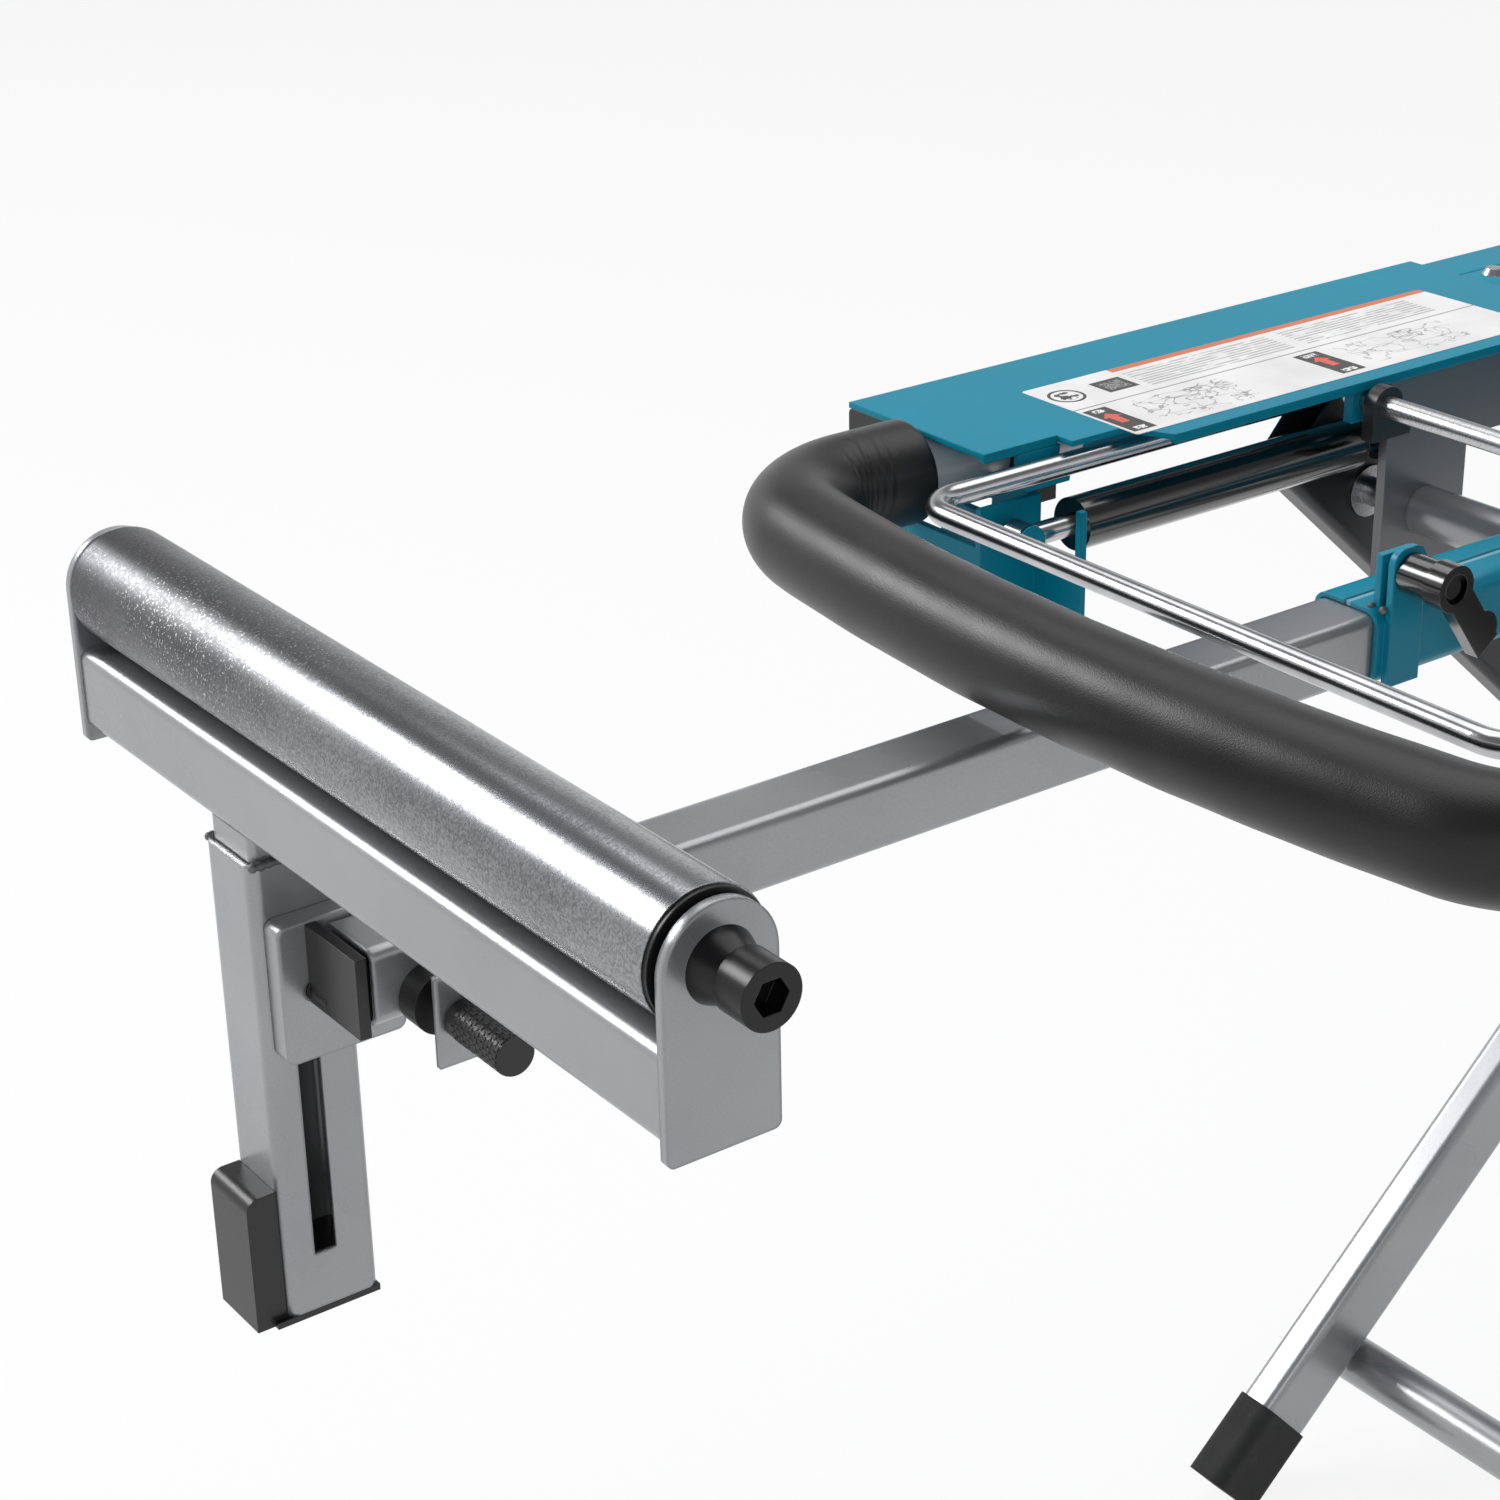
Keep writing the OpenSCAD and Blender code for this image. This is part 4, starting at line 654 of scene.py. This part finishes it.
def beadTree():                            # overlapping beads along every edge of the given wire
    graph, given, named = openTree("beadsAlongWire", (
        ("Spacing", "NodeSocketFloat", 0.002), ("Radius", "NodeSocketFloat", 0.002),
        ("Uneven", "NodeSocketFloat", 0.2), ("Seed", "NodeSocketInt", 4),
        ("Material", "NodeSocketMaterial", None)))
    wire = graph.add("GeometryNodeMeshToCurve", None, {"Mesh": given["Geometry"]})
    spots = graph.add("GeometryNodeResampleCurve", {"mode": "LENGTH"}, {
        "Curve": wire, "Length": given["Spacing"]})
    bead = graph.add("GeometryNodeMeshUVSphere", None, {
        "Segments": 8, "Rings": 5, "Radius": given["Radius"]})
    size = graph.add("FunctionNodeRandomValue", {"data_type": "FLOAT"}, {
        "Min": 1 - given["Uneven"], "Max": 1 + given["Uneven"], "Seed": given["Seed"]}, take=1)
    laid = graph.add("GeometryNodeInstanceOnPoints", None, {
        "Points": spots, "Instance": bead, "Scale": size})
    closeTree(graph, laid, given["Material"])
    return graph.tree, named


halfTurn = 3.14159


def wheelTree():                           # rows of blocks round the Y axis, joined to the given casing
    graph, given, named = openTree("blocksRoundWheel", (
        ("Count", "NodeSocketInt", 40), ("Reach", "NodeSocketFloat", 0.1), ("Rise", "NodeSocketFloat", 0.002),
        ("Width", "NodeSocketFloat", 0.01), ("Length", "NodeSocketFloat", 0.01),
        ("Aside", "NodeSocketFloat", 0.006),
        ("Slant", "NodeSocketFloat", 0.3), ("Centre", "NodeSocketVector", (0, 0, 0)),
        ("Material", "NodeSocketMaterial", None)))
    rows = []
    for way in (1, -1):
        ring = graph.add("GeometryNodeMeshCircle", None, {
            "Vertices": given["Count"], "Radius": given["Reach"] - given["Rise"]})
        size = graph.add("ShaderNodeCombineXYZ", None, {
            "X": given["Rise"] * 2, "Y": given["Length"], "Z": given["Width"]})
        block = graph.add("GeometryNodeMeshCube", None, {"Size": size})
        lean = graph.add("ShaderNodeCombineXYZ", None, {"X": given["Slant"] * way})
        leaning = graph.add("GeometryNodeTransform", None, {"Geometry": block, "Rotation": lean})
        facing = graph.add("FunctionNodeAlignRotationToVector", {"axis": "X", "pivot_axis": "Z"}, {
            "Vector": graph.add("GeometryNodeInputPosition")})
        laid = graph.add("GeometryNodeInstanceOnPoints", None, {
            "Points": ring, "Instance": leaning, "Rotation": facing})
        aside = graph.add("ShaderNodeCombineXYZ", None, {"Z": given["Aside"] * way})
        half = graph.add("ShaderNodeCombineXYZ", None, {"Z": (halfTurn / given["Count"]) * (0.5 * way)})
        rows.append(graph.add("GeometryNodeTransform", None, {
            "Geometry": laid, "Translation": aside, "Rotation": half}))
    joined = graph.add("GeometryNodeJoinGeometry", None, {"Geometry": rows})
    stood = graph.add("GeometryNodeTransform", None, {
        "Geometry": joined, "Translation": given["Centre"], "Rotation": (math.pi / 2, 0, 0)})
    whole = graph.add("GeometryNodeJoinGeometry", None, {"Geometry": [given["Geometry"], stood]})
    closeTree(graph, whole, given["Material"])
    return graph.tree, named


def growMesh(name, base, tree, named, values, material):
    seedling = bpy.data.objects.new(name + "Base", base)
    bpy.context.scene.collection.objects.link(seedling)
    grow = seedling.modifiers.new("grow", "NODES")
    grow.node_group = tree
    for label, value in {**values, "Material": material}.items():
        grow[named[label]] = value
    bpy.context.view_layer.update()
    grown = bpy.data.meshes.new_from_object(seedling.evaluated_get(bpy.context.evaluated_depsgraph_get()))
    bpy.data.objects.remove(seedling)
    grown.materials.clear()
    grown.materials.append(material)
    return grown


def growPiece(name, base, tree, named, values, material, body):
    return keepPiece(name, growMesh(name, base, tree, named, values, material), material, body)


# ---- tyres with a shallow block tread ----

tyreShape = {
    "centres": {"far_wheel_body": (0.2304, 0.334, 0.100), "near_wheel_body": (0.2304, -0.334, 0.100)},
    # half the casing's section: distance from the axle, distance from the wheel's middle
    "section": ((0.0760, 0.0140), (0.0790, 0.0165), (0.0860, 0.0190), (0.0920, 0.0198), (0.0955, 0.0186),
                (0.0975, 0.0150), (0.0982, 0.0090), (0.0984, 0.0030)),
    "around": 96,
    "tread": {"Count": 44, "Reach": 0.1, "Rise": 0.0011, "Width": 0.0095, "Length": 0.0085,
              "Aside": 0.0068, "Slant": 0.5},
}


def makeTyres(spec):
    tree, named = wheelTree()
    for body, centre in spec["centres"].items():
        build = bmesh.new()
        section = [(r, y) for r, y in spec["section"]] + [(r, -y) for r, y in reversed(spec["section"])]
        rings = []
        for k in range(spec["around"]):
            angle = 2 * math.pi * k / spec["around"]
            rings.append([
                build.verts.new((
                    centre[0] + r * math.cos(angle), centre[1] + y, centre[2] + r * math.sin(angle)))
                for r, y in section])
        for k, ring in enumerate(rings):
            other = rings[(k + 1) % len(rings)]
            for i in range(len(ring)):
                j = (i + 1) % len(ring)
                build.faces.new((ring[i], ring[j], other[j], other[i]))
        casing = closeMesh(body + "Casing", build)
        side = body.split("_")[0]
        values = {**spec["tread"], "Centre": centre}
        tyre = growPiece(side + "Tyre", casing, tree, named, values, tyreRubber, body)
        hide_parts(side + "_tyre")


makeTyres(tyreShape)
print("tyres made")


# ---- ribbed grips of the pull pins ----

pinRibs = {
    "first": -0.0050, "last": -0.0330, "rings": 7,      # along the grip, metres from the stand's middle
    "rows": {"Count": 18, "Reach": 0.0088, "Rise": 0.0003, "Width": 0.0024, "Length": 0.0022, "Slant": 0.0},
    "pins": {"left_pin_body": (-1.089, 1, 0.710), "right_pin_body": (1.089, -1, 0.710)},
}


def makePinRibs(spec):
    tree, named = wheelTree()
    for body, (x, way, z) in spec["pins"].items():
        base = None
        for row in range(spec["rings"]):
            y = spec["first"] + (spec["last"] - spec["first"]) * row / (spec["rings"] - 1)
            values = {**spec["rows"], "Aside": 0.0010, "Centre": (x, y * way, z)}
            base = base or bpy.data.meshes.new(body + "Start")
            base = growMesh(body + "Ribs", base, tree, named, values, blackPlastic)
        keepPiece(body + "Ribs", base, blackPlastic, body)


makePinRibs(pinRibs)
print("pin ribs made")


# ---- weld beads, along the joints of each body ----

weldSpec = {
    "spacing": 0.0017, "radius": 0.0019, "uneven": 0.22, "seed": 4,
    # each line in millimetres, for the left side; the right side is the same turned half round
    "arm_body": (((-1080.5, 65.2, 703), (-1080.5, 65.2, 733)),
                 ((-1112, 65.2, 701.5), (-1082, 65.2, 701.5))),
    "post_body": (((-1137, 76.5, 760.5), (-1098, 76.5, 760.5)),
                  ((-1137, 113.5, 760.5), (-1098, 113.5, 760.5)),
                  ((-1096.5, 78, 761), (-1096.5, 112, 761))),
    "frame": (((-553, 26, 738.3), (-531, 26, 738.3)), ((-553, 34, 738.3), (-531, 34, 738.3)),
              ((-240, 26, 738.5), (-240, 68, 738.5)), ((-180, 26, 738.5), (-180, 68, 738.5))),
}
weldSteelSpec = {**silverSpec, "tone": colour(118, 119, 121), "shade": colour(84, 85, 87), "rough": 0.42}
weldSteel = satinPaint("weldBead", weldSteelSpec)


def makeWelds(spec):
    tree, named = beadTree()
    values = {"Spacing": spec["spacing"], "Radius": spec["radius"],
              "Uneven": spec["uneven"], "Seed": spec["seed"]}
    # each body, the lines it carries, and the sides they are laid on: 1 as listed, -1 turned half round
    runs = (("left_arm_body", "arm_body", (1,)), ("right_arm_body", "arm_body", (-1,)),
            ("left_post_body", "post_body", (1,)), ("right_post_body", "post_body", (-1,)),
            ("frame", "frame", (1, -1)))
    for body, lines, ways in runs:
        wire = bmesh.new()
        for way in ways:
            for line in spec[lines]:
                ends = [wire.verts.new((x * way / 1000, y * way / 1000, z / 1000)) for x, y, z in line]
                wire.edges.new(ends)
        base = bpy.data.meshes.new(body + "Wire")
        wire.to_mesh(base)
        wire.free()
        growPiece(body + "Welds", base, tree, named, values, weldSteel, body)


makeWelds(weldSpec)
print("weld beads made")


# ---- stage and light ----

stageSpec = {"floorSize": 40.0, "floorWhite": 0.82, "keep": 0.88}


def seenDirectly(finish):                  # camera, mirror and glass rays see the pale background
    path = {"Is Camera Ray": None, "Is Glossy Ray": None, "Is Transmission Ray": None}
    for name in path:
        path[name] = finish.add("ShaderNodeLightPath", take=name)
    total = path["Is Camera Ray"] + path["Is Glossy Ray"] + path["Is Transmission Ray"]
    return finish.add("ShaderNodeClamp", None, {"Value": total})


def makeFloor(spec):
    build = bmesh.new()
    bmesh.ops.create_grid(build, x_segments=1, y_segments=1, size=spec["floorSize"] / 2)
    shape = bpy.data.meshes.new("studioFloor")
    build.to_mesh(shape)
    build.free()
    floor = bpy.data.objects.new("studioFloor", shape)
    bpy.context.scene.collection.objects.link(floor)
    material, finish = startFinish("studioFloor")
    tone = spec["floorWhite"]
    plain = finish.add("ShaderNodeBsdfDiffuse", None, {"Color": (tone, tone, tone, 1)})
    white = finish.add("ShaderNodeEmission", None, {"Color": (1, 1, 1, 1), "Strength": 1.0})
    shown = finish.add("ShaderNodeMixShader", None, {
        0: seenDirectly(finish) * spec["keep"], 1: plain, 2: white})
    finish.close(shown)
    shape.materials.append(material)


def makeWorld():
    world = bpy.data.worlds.new("studio")
    world.use_nodes = True
    bpy.context.scene.world = world
    finish = Finish(world.node_tree)
    direction = finish.add("ShaderNodeTexCoord", take="Generated")
    height = finish.add("ShaderNodeSeparateXYZ", None, {"Vector": direction}, take="Z")
    ceiling = finish.ramp(height, 0.2, 0.5)
    shown = finish.between(ceiling, (0.95, 0.95, 0.95, 1), (0.2, 0.2, 0.21, 1))
    shown = finish.between(finish.add("ShaderNodeLightPath", take="Is Camera Ray"), shown, (1, 1, 1, 1))
    tone = finish.between(seenDirectly(finish), (0.28, 0.28, 0.29, 1), shown)
    sky = finish.add("ShaderNodeBackground", None, {"Color": tone, "Strength": 1.0})
    finish.close(sky, "ShaderNodeOutputWorld")


# each soft box: where it hangs, what it looks at, size in metres, watts
softBoxes = {
    "overhead": ((0.2, 0.6, 3.3), (-0.3, 0.0, 0.8), (3.4, 2.6), 56),
    "farPanel": ((-3.5, 4.4, 3.8), (-1.0, 0.0, 0.8), (2.8, 1.7), 230),
    "nearPanel": ((-3.2, -3.4, 2.6), (-0.6, 0.0, 0.75), (1.6, 1.6), 30),
}


def makeLights(boxes):
    for name, (place, aim, size, watts) in boxes.items():
        data = bpy.data.lights.new(name, "AREA")
        data.shape = "RECTANGLE"
        data.size, data.size_y = size
        data.energy = watts
        lamp = bpy.data.objects.new(name, data)
        bpy.context.scene.collection.objects.link(lamp)
        lamp.location = place
        lamp.rotation_euler = (Vector(aim) - Vector(place)).to_track_quat("-Z", "Y").to_euler()
        lamp.visible_camera = False


makeFloor(stageSpec)
makeWorld()
makeLights(softBoxes)
bpy.context.scene.view_settings.view_transform = "Standard"
print("stage and light set")
